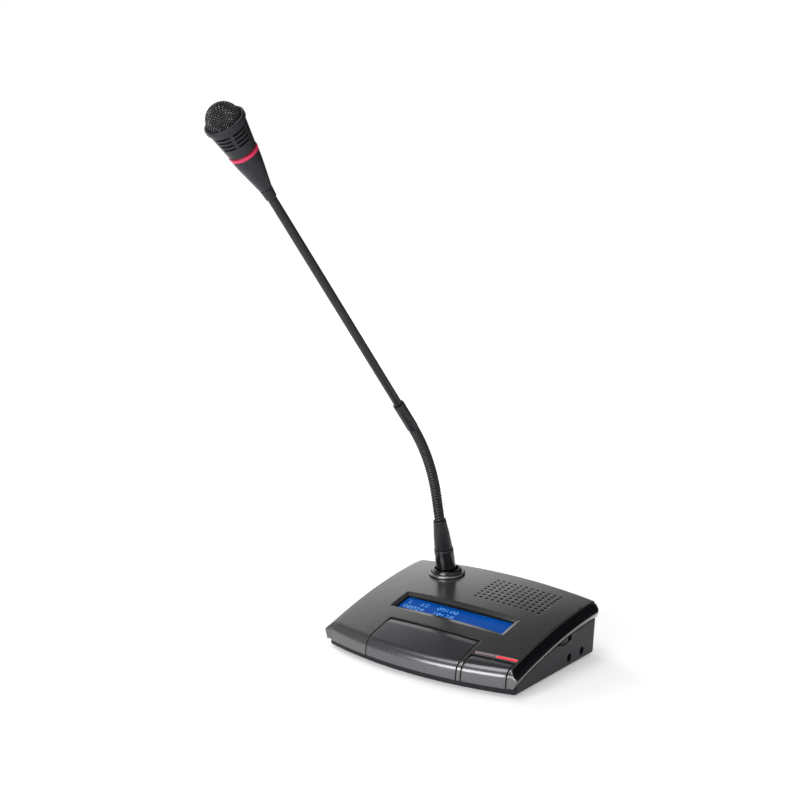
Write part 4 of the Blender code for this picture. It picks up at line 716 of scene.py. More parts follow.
rear_line = line_of_x(HALF_WIDTH_REAR - CORNER_REAR, -HALF_WIDTH_REAR + CORNER_REAR, rear_edge, 40)
turn = np.linspace(0, math.pi / 2, 7)
corner_right = np.stack((HALF_WIDTH_REAR - CORNER_REAR * (1 - np.cos(turn)),
                         HALF_DEPTH - CORNER_REAR * (1 - np.sin(turn))), -1)
corner_left = corner_right[::-1] * (-1, 1)
side_y = np.linspace(-HALF_DEPTH, HALF_DEPTH - CORNER_REAR, 30)[:-1]
right_side = np.stack((half_width(side_y), side_y), -1)
right_foot = [(HALF_WIDTH_FRONT, lip_end(HALF_WIDTH_FRONT))]
cover_outline = np.concatenate((
    line_of_x(-HALF_WIDTH_FRONT, -SPEAK_SIDE - KEY_GAP, lip_end)[:-1],
    notch(-SPEAK_SIDE, SPEAK_SIDE, speak_back),
    notch(PRIORITY_LEFT, PRIORITY_RIGHT, priority_back),
    right_foot, right_side, corner_right[:-1], rear_line[1:-1], corner_left[1:],
    (right_side * (-1, 1))[::-1]))
columns, rows = (np.arange(count) - (count - 1) / 2 for count in GRILLE_COUNTS)
grille_places = SPEAKER_PLACE + GRILLE_PITCH * np.stack(np.meshgrid(columns, rows), -1).reshape(-1, 2)
slot_x = np.array((INDICATOR_LEFT - GAP, INDICATOR_RIGHT + GAP))
slot_low, slot_high = (np.stack((slot_x, indicator_y(slot_x) + side * (INDICATOR_WIDTH / 2 + GAP)), -1)
                       for side in (-1, 1))
indicator_loop = even_loop([slot_low[0], slot_high[0], slot_high[1], slot_low[1]], 0.002)
cover_holes = [recess_loop, circle(MIC_PLACE, MIC_OPENING, 48), indicator_loop]
cover_holes += [circle(place, GRILLE_HOLE_RADIUS, 14) for place in grille_places]
print("openings of the cover:", len(cover_holes))

# %% Cover
COVER_SPACING = 0.0016
COVER_EDGES = (0.00010, 0.00030)
BEVEL_ROUND, BEVEL_SLOPE = 0.0006, 0.24
shell("cover_shell", cover_outline, cover_holes, skin, COVER_SPACING, COVER_WALL, COVER_EDGES, gunmetal,
      "base", ["top_cover"], "gunmetal_cover", (0, BEVEL_ROUND, BEVEL_SLOPE, recess_rows))

# %% [markdown]
# ## Rims and inlays
#
# Each side of the cover ends in a sloping rim. Its section is the same all along, and only its top
# gives way to the curve of the crease at the front, so the rim meets the lip without a step. A slab of
# polished black lies on the slope, pointed at the front and round at the rear.

# %% Sections along the side


def crease_height(y):
    """The height of the skin's side edge over y, with the crease's arc before its start."""
    start, lean = crease(HALF_WIDTH_FRONT)
    sine = np.clip(np.sin(lean) + (start - y) / CREASE_RADIUS, -1, 1)
    on_arc = top_height(HALF_WIDTH_FRONT, start) - CREASE_RADIUS * (np.cos(lean) - np.sqrt(1 - sine ** 2))
    return np.where(y > start, edge_height(y), on_arc)


def round_end(distance, radius):
    """How far a corner of this radius draws the side in, at a distance from the end."""
    left = np.clip(1 - distance / radius, 0, 1)
    return radius * (1 - np.sqrt(1 - left ** 2))


def chamfer_point(y, share, lift):
    """A point over the slope: share runs from its upper edge to its lower one."""
    lean = np.hypot(CHAMFER_WIDTH, CHAMFER_DROP)
    x = half_width(y) + GAP + (CHAMFER_WIDTH - GAP) * share + lift * CHAMFER_DROP / lean
    z = edge_height(y) - CHAMFER_DROP * share + lift * CHAMFER_WIDTH / lean
    return np.stack(np.broadcast_arrays(x, y, z), -1)


def loft(rows):
    """A sheet through rows of points, closed at both ends by flat faces."""
    rows = np.asarray(rows)
    count = rows.shape[1]
    faces = grid_faces(len(rows), count, True)
    last = (len(rows) - 1) * count
    return rows, faces + [list(range(count))[::-1], [last + i for i in range(count)]]


LENGTH = 2 * HALF_DEPTH
RIM_TAIL = 0.006
RIM_FRONT_ROUND, RIM_REAR_ROUND, RIM_SOFT = 0.0022, 0.0066, 0.00035
SLAB_START, SLAB_END, SLAB_ROUND = 0.0012, 0.0032, 0.0050
stations = np.concatenate((np.linspace(0, 0.003, 16), np.linspace(0.003, 0.014, 24)[1:],
                           np.linspace(0.014, LENGTH - RIM_TAIL, 60)[1:],
                           LENGTH - RIM_TAIL * np.cos(np.linspace(0, math.pi / 2, 16))[1:]))


def rim_section(distance):
    """One section of the rim, with its small roundings, at a distance from the front end."""
    y = distance - HALF_DEPTH
    drawn = round_end(distance, RIM_FRONT_ROUND) + round_end(LENGTH - distance, RIM_REAR_ROUND)
    inner, outer = half_width(y) + 0.00003, half_width(y) + CHAMFER_WIDTH
    top, limit = edge_height(y), crease_height(y)
    slope = [(inner + (outer - inner) * share, min(top - CHAMFER_DROP * share, limit))
             for share in (0, 0.01, 0.12, 0.3, 0.5, 0.7, 0.88, 1)]
    edge = [(outer, min(top - CHAMFER_DROP, limit) - TRIM_EDGE),
            (half_width(y) + WALL_OUTSET, top - TRIM_DEPTH), (inner, top - TRIM_DEPTH)]
    section = softened(slope + edge, RIM_SOFT)
    section[:, 0] = np.minimum(section[:, 0], outer - drawn)
    return np.stack((section[:, 0], np.full(len(section), y), section[:, 1]), -1)


def slab_section(distance):
    """One section of the black slab: 0.15 mm proud, with its own rounded edges."""
    y = distance - HALF_DEPTH
    first = max(float((edge_height(y) - crease_height(y)) / CHAMFER_DROP) + 0.04, 0.05)
    last = 0.955
    tail = round_end(LENGTH - SLAB_END - distance, SLAB_ROUND) / SLAB_ROUND
    middle, half = (first + last) / 2, max((last - first) / 2, 0.004) * max(1 - tail, 0.01)
    shares = middle + half * np.array((-1, -1, -0.96, -0.9, 0, 0.9, 0.96, 1, 1))
    lifts = np.array((-0.0003, 0.00005, 0.00012, 0.00015, 0.00017, 0.00015, 0.00012, 0.00005, -0.0003))
    return chamfer_point(y, shares, lifts)


# %% Rims and inlays
rim_rows = np.array([rim_section(distance) for distance in stations])
slab_stations = stations[(stations > SLAB_START) & (stations < LENGTH - SLAB_END)]
slab_rows = np.array([slab_section(distance) for distance in slab_stations])
for side, mirror in (("left", -1), ("right", 1)):
    for kind, rows, look, slot_name in (("rim", rim_rows, gunmetal, "gunmetal_cover"),
                                        ("inlay", slab_rows, black_gloss, "black_gloss")):
        sheet = loft(rows * (mirror, 1, 1))
        piece(f"{kind}_{side}", [sheet], look, "base", [f"side_trim_{side}"], slot_name)

# %% [markdown]
# ## The tub
#
# The case under the cover is one wall carried round the plan. Its corners are rounded in the plan, and
# its profile rounds over at the bottom edge. The wall's height follows whatever lies on it: the lip in
# front, the rims at the sides and the cover behind.

# %% Plan and profile of the tub
CORNER_SETBACK, CORNER_ROUND = 0.0012, 0.0035


def row_at(drawn_in, height):
    """The tub's plan moved inwards, against its outward directions, at a height."""
    return np.column_stack((plan - outward(plan) * drawn_in, np.broadcast_to(height, len(plan))))


def case_plan():
    """Front arc, right side, rear arc and left side, with rounded corners."""
    share = np.linspace(-1, 1, 41)
    bulge = 1 - share ** 2
    front = np.stack((HALF_WIDTH_FRONT * share, -HALF_DEPTH + LIP_SETBACK - FRONT_BULGE * bulge), -1)
    rear = np.stack((-(HALF_WIDTH_REAR + WALL_OUTSET) * share, REAR_WALL + REAR_BULGE * bulge), -1)
    corner_x, corner_y = HALF_WIDTH_FRONT + WALL_OUTSET, -HALF_DEPTH + LIP_SETBACK + CORNER_SETBACK
    corners = [(-corner_x, corner_y), *front, (corner_x, corner_y), *rear]
    return softened(corners, CORNER_ROUND, steps=5)


def case_rim(plan):
    """The height of the wall's rim over every point of the plan."""
    x, y = np.abs(plan[:, 0]), plan[:, 1]
    under_cover = top_height(x, y) - COVER_WALL - GAP
    under_trim = edge_height(y) - TRIM_DEPTH - GAP
    height = np.where(x > half_width(y) - GAP, under_trim, under_cover)
    in_front = (y < -HALF_DEPTH + LIP_SETBACK + CASE_WALL + 0.001) & (x < HALF_WIDTH_FRONT + 2 * GAP)
    return np.where(in_front, LIP_BOTTOM - GAP, height)


plan = even_loop(case_plan(), 0.002)
plan = plan[np.linalg.norm(plan - np.roll(plan, 1, 0), axis=1) > 0.00002]
rim = case_rim(plan)
tub_rows = [row_at(CASE_EDGE * (1 - math.sin(a)), CASE_BOTTOM + CASE_EDGE * (1 - math.cos(a)))
            for a in np.linspace(0, math.pi / 2, 6)]
wall_low = CASE_BOTTOM + CASE_EDGE
tub_rows += [row_at(0, wall_low + (rim - wall_low - RIM_EDGE) * share)
             for share in np.linspace(0, 1, 12)[1:]]
tub_rows += [row_at(RIM_EDGE, rim), row_at(CASE_WALL - RIM_EDGE / 2, rim), row_at(CASE_WALL, FLOOR_TOP)]
print("the tub's section has", len(tub_rows), "points")

# %% [markdown]
# The openings are cut with solids: the thumb scoop and the slot for the wheel, the mouths of the two
# headphone sockets, the two round ones behind, and the screws' recesses below.

# %% Cutters and the cut


def rod_rows(start, end, radius, sides=40):
    """A plain round bar between two points, as a closed sheet."""
    start, end = np.array(start, float), np.array(end, float)
    along = unit(end - start)
    side = unit(np.cross(along, (0, 0, 1) if abs(along[2]) < 0.9 else (1, 0, 0)))
    angle = circle_angles(sides)
    ring = radius * (np.outer(np.cos(angle), side) + np.outer(np.sin(angle), np.cross(along, side)))
    return loft([start + ring, end + ring])


def box_rows(low, high):
    """A plain box between two corners, as a closed sheet."""
    corners = [(low[0], low[1]), (high[0], low[1]), (high[0], high[1]), (low[0], high[1])]
    return loft([[(x, y, z) for x, y in corners] for z in (low[2], high[2])])


def cut_out(target, cutters):
    """Takes the cutters out of the target's mesh and removes them."""
    for sheet in cutters:
        tool = piece("cutter", [sheet], case_dark, None, [], "rubber")
        change = target.modifiers.new("cut", "BOOLEAN")
        change.object, change.solver = tool, "EXACT"
        bpy.context.view_layer.update()
        shape = bpy.data.meshes.new_from_object(target.evaluated_get(bpy.context.evaluated_depsgraph_get()))
        target.modifiers.clear()
        target.data = shape
        bpy.data.objects.remove(tool)
    target.data.set_sharp_from_angle(angle=math.radians(35))


SCREW_DEPTH, SCREW_RADIUS = 0.0032, 0.0031
SCOOP_HALF = (0.0030, 0.0112, 0.0047)
WHEEL_SLOT = np.array((0, 0.0103, 0.0026))
REACH = 0.004
outside = np.array((half_width(WHEEL_PLACE[1]) + WALL_OUTSET, *WHEEL_PLACE[1:]))
polar, around = np.meshgrid(np.linspace(0, math.pi, 17), circle_angles(40), indexing="ij")
sphere = np.stack((np.sin(polar) * np.cos(around), np.sin(polar) * np.sin(around), np.cos(polar)), -1)
cutters = [(sphere * SCOOP_HALF + outside + (0.0015, 0, 0), grid_faces(17, 40, True)),
           box_rows(WHEEL_PLACE - WHEEL_SLOT, outside + WHEEL_SLOT + (0.006, 0, 0))]
for y in JACK_Y:
    x = half_width(y) + WALL_OUTSET
    cutters.append(rod_rows((x - CASE_WALL - REACH, y, JACK_Z), (x + REACH, y, JACK_Z), JACK_MOUTH_RADIUS))
for x in TRUNK_X:
    y = REAR_WALL + REAR_BULGE * (1 - (x / (HALF_WIDTH_REAR + WALL_OUTSET)) ** 2)
    ends = (x, y - CASE_WALL - REACH, TRUNK_Z), (x, y + REACH, TRUNK_Z)
    cutters.append(rod_rows(*ends, TRUNK_RADIUS + GAP))
cutters += [rod_rows((x, y, 0), (x, y, SCREW_DEPTH), SCREW_RADIUS, 36) for x, y in SCREW_PLACES]
tub = piece("case_tub", [loft(tub_rows)], case_dark, "base", ["bottom_case"], "dark_case")
cut_out(tub, cutters)
print("the tub has", len(tub.data.polygons), "faces after its cuts")

# %% Bosses and posts on the tub's floor
POST_FOOT, POST_RADIUS = 0.0030, 0.0026
BOSS = ((0.0017, 0.0037), (0.0046, 0.0030), (0.0046, 0.0118), (0.0044, 0.0120), (0.0017, 0.0120))
posts = []
for x, y in SCREW_PLACES:
    ring = [[(x + r * math.cos(a), y + r * math.sin(a), z) for a in circle_angles(36, -1)] for r, z in BOSS]
    posts.append((np.array(ring), grid_faces(5, 36, True, True)))
posts += [rod_rows((x, y, POST_FOOT), (x, y, top), POST_RADIUS, 32) for x, y, top in BOARD_POSTS]
piece("case_posts", posts, case_dark, "base", ["bottom_case"], "dark_case")

# %% [markdown]
# ## The keys
#
# Each key is a patch of the same skin, in the same formula, with its own rounded edges. It turns on a
# rod inside the case, so two arms with eyes run back from it, and a boss below it meets the switch.
# Its last few millimetres dip below the cover, and its walls below the rounded edge get painted
# shade, so its back edge shows as a dark line.

# %% Keys
ROD_Y, ROD_Z = -0.036, 0.0198
KEY_SINK, SINK_REACH = 0.0008, 0.006
ARM_NEAR, ARM_FAR, ARM_HALF, ARM_SLOPE = 0.0060, 0.0096, 0.0013, 0.268
ARM_REACH, ARM_FOOT, ARM_INTO_EYE = 0.0040, 0.002, 0.0019
BOSS_RADIUS = 0.0025
KEY_SPACING = 0.0012
KEY_EDGES = (0.0003, 0.0003)
EYE_OUTER, EYE_INNER = 0.0028, 0.0014
SWITCH_Y, BUTTON_TOP = -0.0570, 0.0165


def key_surface(back_at):
    """The skin, lowered towards a key's back edge by a smooth step of the distance to that edge."""
    def surface(plan, depth=0.0):
        near = np.clip(1 - (back_at(plan[..., 0]) - plan[..., 1]) / SINK_REACH, 0, 1)
        return skin(plan, depth + KEY_SINK * near ** 2 * (3 - 2 * near))
    return surface


def key_extras(left, right, back_at):
    """The arms to the rod, their eyes and the boss over the switch."""
    middle = (left + right) / 2
    boss_top = float(top_height(middle, SWITCH_Y)) - KEY_WALL / 2
    boss = rod_rows((middle, SWITCH_Y, BUTTON_TOP + GAP), (middle, SWITCH_Y, boss_top), BOSS_RADIUS)
    sheets = []
    for side, edge in ((1, left), (-1, right)):
        low, high = sorted((edge + side * ARM_NEAR, edge + side * ARM_FAR))
        front = float(back_at((low + high) / 2)) - KEY_GAP - ARM_REACH
        corners = ((low, -ARM_HALF), (high, -ARM_HALF), (high, ARM_HALF), (low, ARM_HALF))
        sheets.append(loft([[(x, y, ROD_Z + (y - ROD_Y) * ARM_SLOPE + lift) for x, lift in corners]
                            for y in (front, ROD_Y - ARM_INTO_EYE)]))
        foot = ROD_Z + (front + ARM_FOOT - ROD_Y) * ARM_SLOPE
        roof = float(top_height((low + high) / 2, front + ARM_FOOT)) - KEY_WALL / 2
        sheets.append(box_rows((low + GAP, front + GAP, foot), (high - GAP, front + ARM_REACH, roof)))
        eye = ((low, EYE_OUTER), (high, EYE_OUTER), (high, EYE_INNER), (low, EYE_INNER))
        ring = [[(x, ROD_Y + r * math.cos(a), ROD_Z + r * math.sin(a)) for a in circle_angles(32)]
                for x, r in eye]
        sheets.append((np.array(ring), grid_faces(4, 32, True, True)))
    return sheets + [boss]


for name, left, right, back_at in (("speak_key", -SPEAK_SIDE, SPEAK_SIDE, speak_back),
                                   ("priority_key", PRIORITY_LEFT, PRIORITY_RIGHT, priority_back)):
    key_plan = np.concatenate((line_of_x(left, right, lip_end, 24), line_of_x(right, left, back_at, 24)))
    shell(f"{name}_cap", key_plan, [], key_surface(back_at), KEY_SPACING, KEY_WALL, KEY_EDGES, key_grey,
          name, [name], "key_grey", extras=key_extras(left, right, back_at))

# %% [markdown]
# ## The indicator
#
# A narrow bar of light behind the second key. Its left half is unlit, with a thin pale line, and its
# right half glows red. The finish asks for the object's own X to tell the halves apart. Its stem
# down to the board gets painted shade, since it shows in the gap when the key is pressed.

# %% Indicator


def indicator_finish():
    """Red to the right of the bar's middle, and to the left a pale line between grey ones."""
    made = glowing("indicator_light", ((226, 24, 44), (244, 52, 72)), 0.002, 0.8, (0.2, 0.3))
    tree, inputs, red, place = opened(made)
    x, y, _ = node(tree, "ShaderNodeSeparateXYZ", {"Vector": place}).outputs
    slope = (INDICATOR_Y_RIGHT - INDICATOR_Y_LEFT) / (INDICATOR_RIGHT - INDICATOR_LEFT)
    line = calculated(tree, "MULTIPLY_ADD", x, -slope, slope * INDICATOR_LEFT - INDICATOR_Y_LEFT)
    away = calculated(tree, "ABSOLUTE", calculated(tree, "ADD", line, y))
    unlit = mixed(tree, ranged(tree, away, 0.00018, 0.00030), srgb(206, 168, 172), srgb(88, 78, 84))
    lit = ranged(tree, x, 0.0590, 0.0594)
    tree.links.new(mixed(tree, lit, unlit, red), inputs["Base Color"])
    tree.links.new(mixed(tree, lit, srgb(0, 0, 0), red), inputs["Emission Color"])
    return made


indicator_light = indicator_finish()
bar_rows = []
for x in np.linspace(INDICATOR_LEFT, INDICATOR_RIGHT, 25):
    low, high = (indicator_y(x) + side * INDICATOR_WIDTH / 2 for side in (-1, 1))
    section = softened([(low, -COVER_WALL), (high, -COVER_WALL), (high, 0), (low, 0)], 0.0003)
    bar_rows.append([(x, y, top_height(x, y) + depth) for y, depth in section])
stem = box_rows((0.0530, -0.0523, 0.0101), (0.0620, -0.0509, float(top_height(0.057, -0.0516)) - 0.0012))
# The stem's faces, marked 1, get painted shade.
piece("indicator_bar", [loft(bar_rows), (*stem, 1)], indicator_light, "base", ["indicator_lens"],
      "light_red", painted_shade_look=foam_and_painted_shade)

# %% [markdown]
# ## The display
#
# The panel behind the glass shows two rows of plain digits, each a small grid of square dots. Every
# glyph is seven rows of five bits.

# %% Digits
GLYPHS = {"0": (14, 17, 19, 21, 25, 17, 14), "1": (4, 12, 4, 4, 4, 4, 14), "2": (14, 17, 1, 2, 4, 8, 31),
          "3": (31, 2, 4, 2, 1, 17, 14), "4": (2, 6, 10, 18, 31, 2, 2), "5": (31, 16, 30, 1, 1, 17, 14),
          ":": (0, 12, 12, 0, 12, 12, 0), " ": (0,) * 7}
TEXTS = (("1  12  05:00", 0.0076), ("00024  10:30", 0.0002))
TEXT_LEFT = -0.0440
DOT_HALF = 0.00025


def dots_of(text, left, top):
    """The places of the lit dots of a text whose first dot is at (left, top) in the display's frame."""
    bits = np.array([GLYPHS[letter] for letter in text])
    lit = (bits[:, :, None] >> np.arange(4, -1, -1)) & 1
    letter, row, column = np.nonzero(lit)
    return np.stack((left + DOT * (6 * letter + column), top - DOT * row), -1)


dots = np.concatenate([dots_of(text, TEXT_LEFT, top) for text, top in TEXTS])
square = np.array(((-1, -1), (1, -1), (1, 1), (-1, 1))) * DOT_HALF
levels = np.array((-0.00568, -0.00552))
corners = dots[:, None, None, :] + np.broadcast_to(square, (len(dots), 2, 4, 2))
heights = np.broadcast_to(levels[None, :, None], corners.shape[:3])
cubes = display_point(corners[..., 0], corners[..., 1], heights)
cube_faces = np.array(((0, 3, 2, 1), (4, 5, 6, 7), (0, 1, 5, 4), (1, 2, 6, 5), (2, 3, 7, 6), (3, 0, 4, 7)))
dot_faces = (np.arange(len(dots))[:, None, None] * 8 + cube_faces).reshape(-1, 4).tolist()
piece("display_digits", [(cubes, dot_faces)], display_dots, "base", [], "display_blue")

# %% [markdown]
# ## The microphone's arm
#
# The arm's centre line is straight, then a circular arc, then straight again. A turned piece is a
# profile of distances along that line and radii about it, so it bends wherever the line does.

# %% Distances along the arm, and its line
BOOT_START, FLEX_START, BEND_START, FLEX_END = 0.0231, 0.0475, 0.0677, 0.1348
COUPLING_END, ROD_END, FERRULE_END = 0.1615, 0.3658, 0.3743
SHELL_END, GUIDE_END, BODY_LOW, BODY_HIGH, COLLAR_END = 0.4035, 0.4072, 0.4075, 0.4281, 0.4320
HEADING, LEAN_LOW, LEAN_HIGH = (math.radians(angle) for angle in (10.0, 15.4, 41.0))
ARM_START = np.array((*MIC_PLACE, top_height(*MIC_PLACE)))
FORWARD = np.array((-math.sin(HEADING), -math.cos(HEADING), 0))
UP = np.array((0, 0, 1.0))
ACROSS = np.cross(FORWARD, UP)


def arm_line(distance):
    """Places and directions along the arm: integrals of a lean that is constant, rises, is constant."""
    d = np.asarray(distance, float)[..., None]
    radius = (FLEX_END - BEND_START) / (LEAN_HIGH - LEAN_LOW)
    lean = LEAN_LOW + np.clip(d - BEND_START, 0, FLEX_END - BEND_START) / radius
    sine, cosine = math.sin(LEAN_LOW), math.cos(LEAN_LOW)
    along = FORWARD * np.sin(lean) + UP * np.cos(lean)
    foot = ARM_START + np.minimum(d, BEND_START) * (FORWARD * sine + UP * cosine)
    bend = radius * (FORWARD * (cosine - np.cos(lean)) + UP * (np.sin(lean) - sine))
    return foot + bend + np.maximum(d - FLEX_END, 0) * along, along


def on_arm(distance, radius, angle):
    """A point at a radius and an angle about the arm's line."""
    place, along = arm_line(distance)
    side = np.cross(along, ACROSS)
    radius, angle = np.asarray(radius)[..., None], np.asarray(angle)[..., None]
    return place + radius * (np.cos(angle) * ACROSS + np.sin(angle) * side)


def turned(profile, reach=0.0003, sides=72, closed=False):
    """The sheet of a profile of (distance, radius); a closed profile makes a ring or a tube."""
    profile = softened(profile, reach, closed)
    rows = on_arm(profile[:, :1], profile[:, 1:], circle_angles(sides)[None])
    return rows, grid_faces(len(profile), sides, True, closed)


def turned_on(origin, axes, profile, reach=0.0003, sides=96):
    """The same about the normal of a frame on the skin, for a closed profile of (height, radius)."""
    profile = softened(profile, reach)
    angle = circle_angles(sides)
    height, radius = profile[:, :1], profile[:, 1:]
    local = np.stack(np.broadcast_arrays(radius * np.cos(angle), radius * np.sin(angle), height), -1)
    return origin + local @ axes, grid_faces(len(profile), sides, True, True)


def tube(start, end, bore, first, last):
    """The profile of a tube: the radius of its bore, and its own radius at either end."""
    return [(start, bore), (start, first), (end, last), (end, bore)]


print("the arm ends at", np.round(arm_line(0.4440)[0] * 1000, 1), "mm")

# %% Socket, sleeve and boot
mic_origin, mic_axes = skin_frame(*MIC_PLACE)
ring = [(0.0021, 0.0124), (0.0021, 0.0136), (0.0014, 0.01435), (GAP, 0.01435), (GAP, 0.0130),
        (-0.0022, 0.0130), (-0.0022, 0.0124)]
collar = [(0.0048, 0.0095), (0.0048, 0.0104), (0.0041, 0.0115), (0.0024, 0.0121), (-0.0022, 0.0121),
          (-0.0022, 0.0095)]
for name, profile, reach, look, slot_name in (
        ("socket_ring", ring, 0.0003, ring_grey, "gunmetal_cover"),
        ("socket_collar", collar, 0.0005, sleeve_black, "black_gloss")):
    sheet = turned_on(mic_origin, mic_axes, profile, reach)
    piece(f"{name}_turned", [sheet], look, "base", [name], slot_name)
sleeve = [(-0.0155, 0), (-0.0155, 0.0068), (-0.0035, 0.0068), (-0.0035, 0.0077), (0.0208, 0.0077),
          (0.0208, 0.0071), (0.0216, 0.0071), (0.0216, 0.0077), (0.0228, 0.0074), (0.0228, 0)]
piece("sleeve_turned", [turned(sleeve, 0.0002)], sleeve_black, "base", ["gooseneck_sleeve"], "arm_metal")
boot = [(BOOT_START, 0), (BOOT_START, 0.0071), (0.0350, 0.0063), (0.0450, 0.0052), (0.0462, 0.0052),
        (FLEX_START, 0.0050), (FLEX_START, 0)]
piece("boot_turned", [turned(boot, 0.0003)], arm_black, "base", ["gooseneck_boot"], "arm_black")

# %% [markdown]
# The flexible part is wound like a spring: the radius rises and falls with the distance along the arm
# and with the angle about it, so the ribs form one long helix. It is built in eight stretches, each of
# which spans one hinge of the solids, and every stretch ends where the next begins.

# %% The flexible part
PITCH = 0.0097
RIB, RIB_DEPTH, VALLEY = 0.0024, 0.0007, 0.0034
BLEND_HALF = 0.0024


def wound(first, last):
    """r = valley + depth·((1+cos φ)/2)^0.6, where φ is 2π·distance/rib - angle."""
    distance = np.linspace(first, last, int((last - first) / 0.00014) + 2)[:, None]
    angle = circle_angles(36)[None]
    wave = (1 + np.cos(2 * math.pi * distance / RIB - angle)) / 2
    return loft(on_arm(distance, VALLEY + RIB_DEPTH * wave ** 0.6, angle))


middles = FLEX_START + PITCH * (np.arange(1, 8) + 0.5)
ends = [FLEX_START, *middles, FLEX_END]
for number in range(8):
    nodes = ["gooseneck_piece_0", "gooseneck_piece_1"] if number == 0 else [f"gooseneck_piece_{number + 1}"]
    made = piece(f"flex_stretch_{number + 1}", [wound(ends[number], ends[number + 1])], arm_black, None,
                 nodes, "arm_black")
    hinge = FLEX_START + PITCH * (number + 1)
    start, end = (Vector(arm_line(hinge + step)[0]) for step in (-BLEND_HALF, BLEND_HALF))
    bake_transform(made)
    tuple(start)
    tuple(end)

# %% [markdown]
# The light guide glows most along its middle and is a darker red at both edges. Its finish measures
# the distance along the arm as a dot product with the arm's direction.

# %% The glow of the light ring


def along_arm(tree, spot, middle):
    """How far a spot on the straight upper arm lies from a distance along it, before or behind."""
    place, along = arm_line(middle)
    reach = along_vector(tree, spot, along)
    return calculated(tree, "ABSOLUTE", calculated(tree, "ADD", reach, -float(place @ along)))


def ring_glow():
    """Bright pink-red within 0.8 mm of the middle, falling to a deep red 1.7 mm from it."""
    made = glowing("light_guide_red", ((182, 20, 60), (206, 46, 94)), 0.007, 0.4, (0.15, 0.25))
    tree, inputs, bright, place = opened(made)
    edge = ranged(tree, along_arm(tree, place, 0.4052), 0.0007, 0.0017)
    colour = mixed(tree, edge, bright, srgb(104, 4, 26))
    for name in ("Base Color", "Emission Color"):
        tree.links.new(colour, inputs[name])
    return made


light_red = ring_glow()

# %% The rod and its ends
coupling = tube(FLEX_END + GAP, COUPLING_END, 0.0022, 0.0044, 0.0044)
rod = tube(COUPLING_END + GAP, ROD_END, 0.0022, 0.0032, 0.0032)
ferrule = tube(ROD_END + GAP, FERRULE_END, 0.0022, 0.0039, 0.0045)
lower = [(FERRULE_END + GAP, 0.0022), (FERRULE_END + GAP, 0.0045), (0.3900, 0.0076), (0.3965, 0.0089),
         (SHELL_END, 0.0100), (SHELL_END, 0.0087), (0.3900, 0.0063), (0.3772, 0.0022)]
guide = [(SHELL_END + GAP, 0.0087), (SHELL_END + GAP, 0.0102), (0.4055, 0.0105), (GUIDE_END, 0.0102),
         (GUIDE_END, 0.0087)]
for name, profile, look, node_name, slot_name in (
        ("coupling_turned", coupling, arm_black, "gooseneck_coupling", "arm_black"),
        ("rod_turned", rod, arm_black, "boom_rod", "arm_metal"),
        ("ferrule_turned", ferrule, arm_black, "head_ferrule", "arm_black"),
        ("lower_shell_turned", lower, head_black, "head_lower_shell", "arm_black"),
        ("light_ring_turned", guide, light_red, "light_ring", "light_red")):
    piece(name, [turned(profile, 0.0004, closed=True)], look, "microphone", [node_name], slot_name)

# %% [markdown]
# ## The head
#
# The head's body has four rows of six wide slots. Each is a dent whose walls are steep: the depth is
# one product of two smooth steps, one of the angle and one of the distance. What lies deep in a slot,
# and the collar's inner side, get painted shade.

# %% The slotted body


def step_up(value, middle, width):
    """3s²-2s³, where s runs from 0 to 1 over the width about the middle."""
    share = np.clip((value - middle) / width + 0.5, 0, 1)
    return share ** 2 * (3 - 2 * share)


BODY_RADIUS, BODY_FLARE, BODY_WALL = 0.0100, 0.0033, 0.0015
SLOT_DEPTH, SLOT_TURN = 0.0012, math.radians(-10)
SIXTH = math.pi / 3
half_slot, half_row = 0.40 * SIXTH, 0.0007
edges = np.array((-0.052, -0.03, -0.015, 0, 0.015, 0.03)) / 4
parts = np.concatenate((edges - half_slot, np.linspace(0.05 - half_slot, half_slot - 0.05, 9),
                        half_slot - edges[::-1], (SIXTH / 2 - 0.03, SIXTH / 2 + 0.03)))
angles = np.sort((SIXTH * np.arange(6)[:, None] + parts).ravel())
row_middles = BODY_HIGH - 0.0030 - 0.0031 * np.arange(3, -1, -1)
fine = np.array((-0.00025, -0.00012, 0, 0.00012, 0.00025))
row_parts = np.concatenate((-half_row + fine, (0,), half_row + fine))
distances = np.concatenate((
    (BODY_LOW, BODY_LOW + 0.0003), np.linspace(BODY_LOW + 0.0010, BODY_LOW + 0.0060, 4),
    (row_middles[:, None] + row_parts).ravel(), (BODY_HIGH - 0.0003, BODY_HIGH)))
distance, angle = np.meshgrid(distances, angles, indexing="ij")
share = (distance - BODY_LOW) / (BODY_HIGH - BODY_LOW)
from_slot = np.abs((angle + SIXTH / 2) % SIXTH - SIXTH / 2)
from_row = np.abs(distance[..., None] - row_middles).min(-1)
dent = (1 - step_up(from_slot, half_slot, 0.012)) * (1 - step_up(from_row, half_row, 0.00026))
radius = BODY_RADIUS + BODY_FLARE * share
outer = on_arm(distance, radius - SLOT_DEPTH * dent, angle + SLOT_TURN)
inner = on_arm(distance[::-1], radius[::-1] - BODY_WALL, angle[::-1] + SLOT_TURN)
body_faces = grid_faces(2 * len(distances), len(angles), True, True)
body = piece("head_body_slotted", [(np.concatenate((outer, inner)), body_faces)], head_black, "microphone",
             ["head_body"], "arm_black", 28)
# Faces deep in a slot get the second finish, painted shade.
body.data.materials.append(foam_and_painted_shade)
centres = np.array([face.center for face in body.data.polygons])
place_low, along = arm_line(BODY_LOW)
reach = (centres - place_low) @ along
off_axis = np.linalg.norm(centres - place_low - reach[:, None] * along, axis=1)
deep = off_axis < BODY_RADIUS + BODY_FLARE * reach / (BODY_HIGH - BODY_LOW) - 0.0008
body.data.polygons.foreach_set("material_index", deep.astype(np.int32))

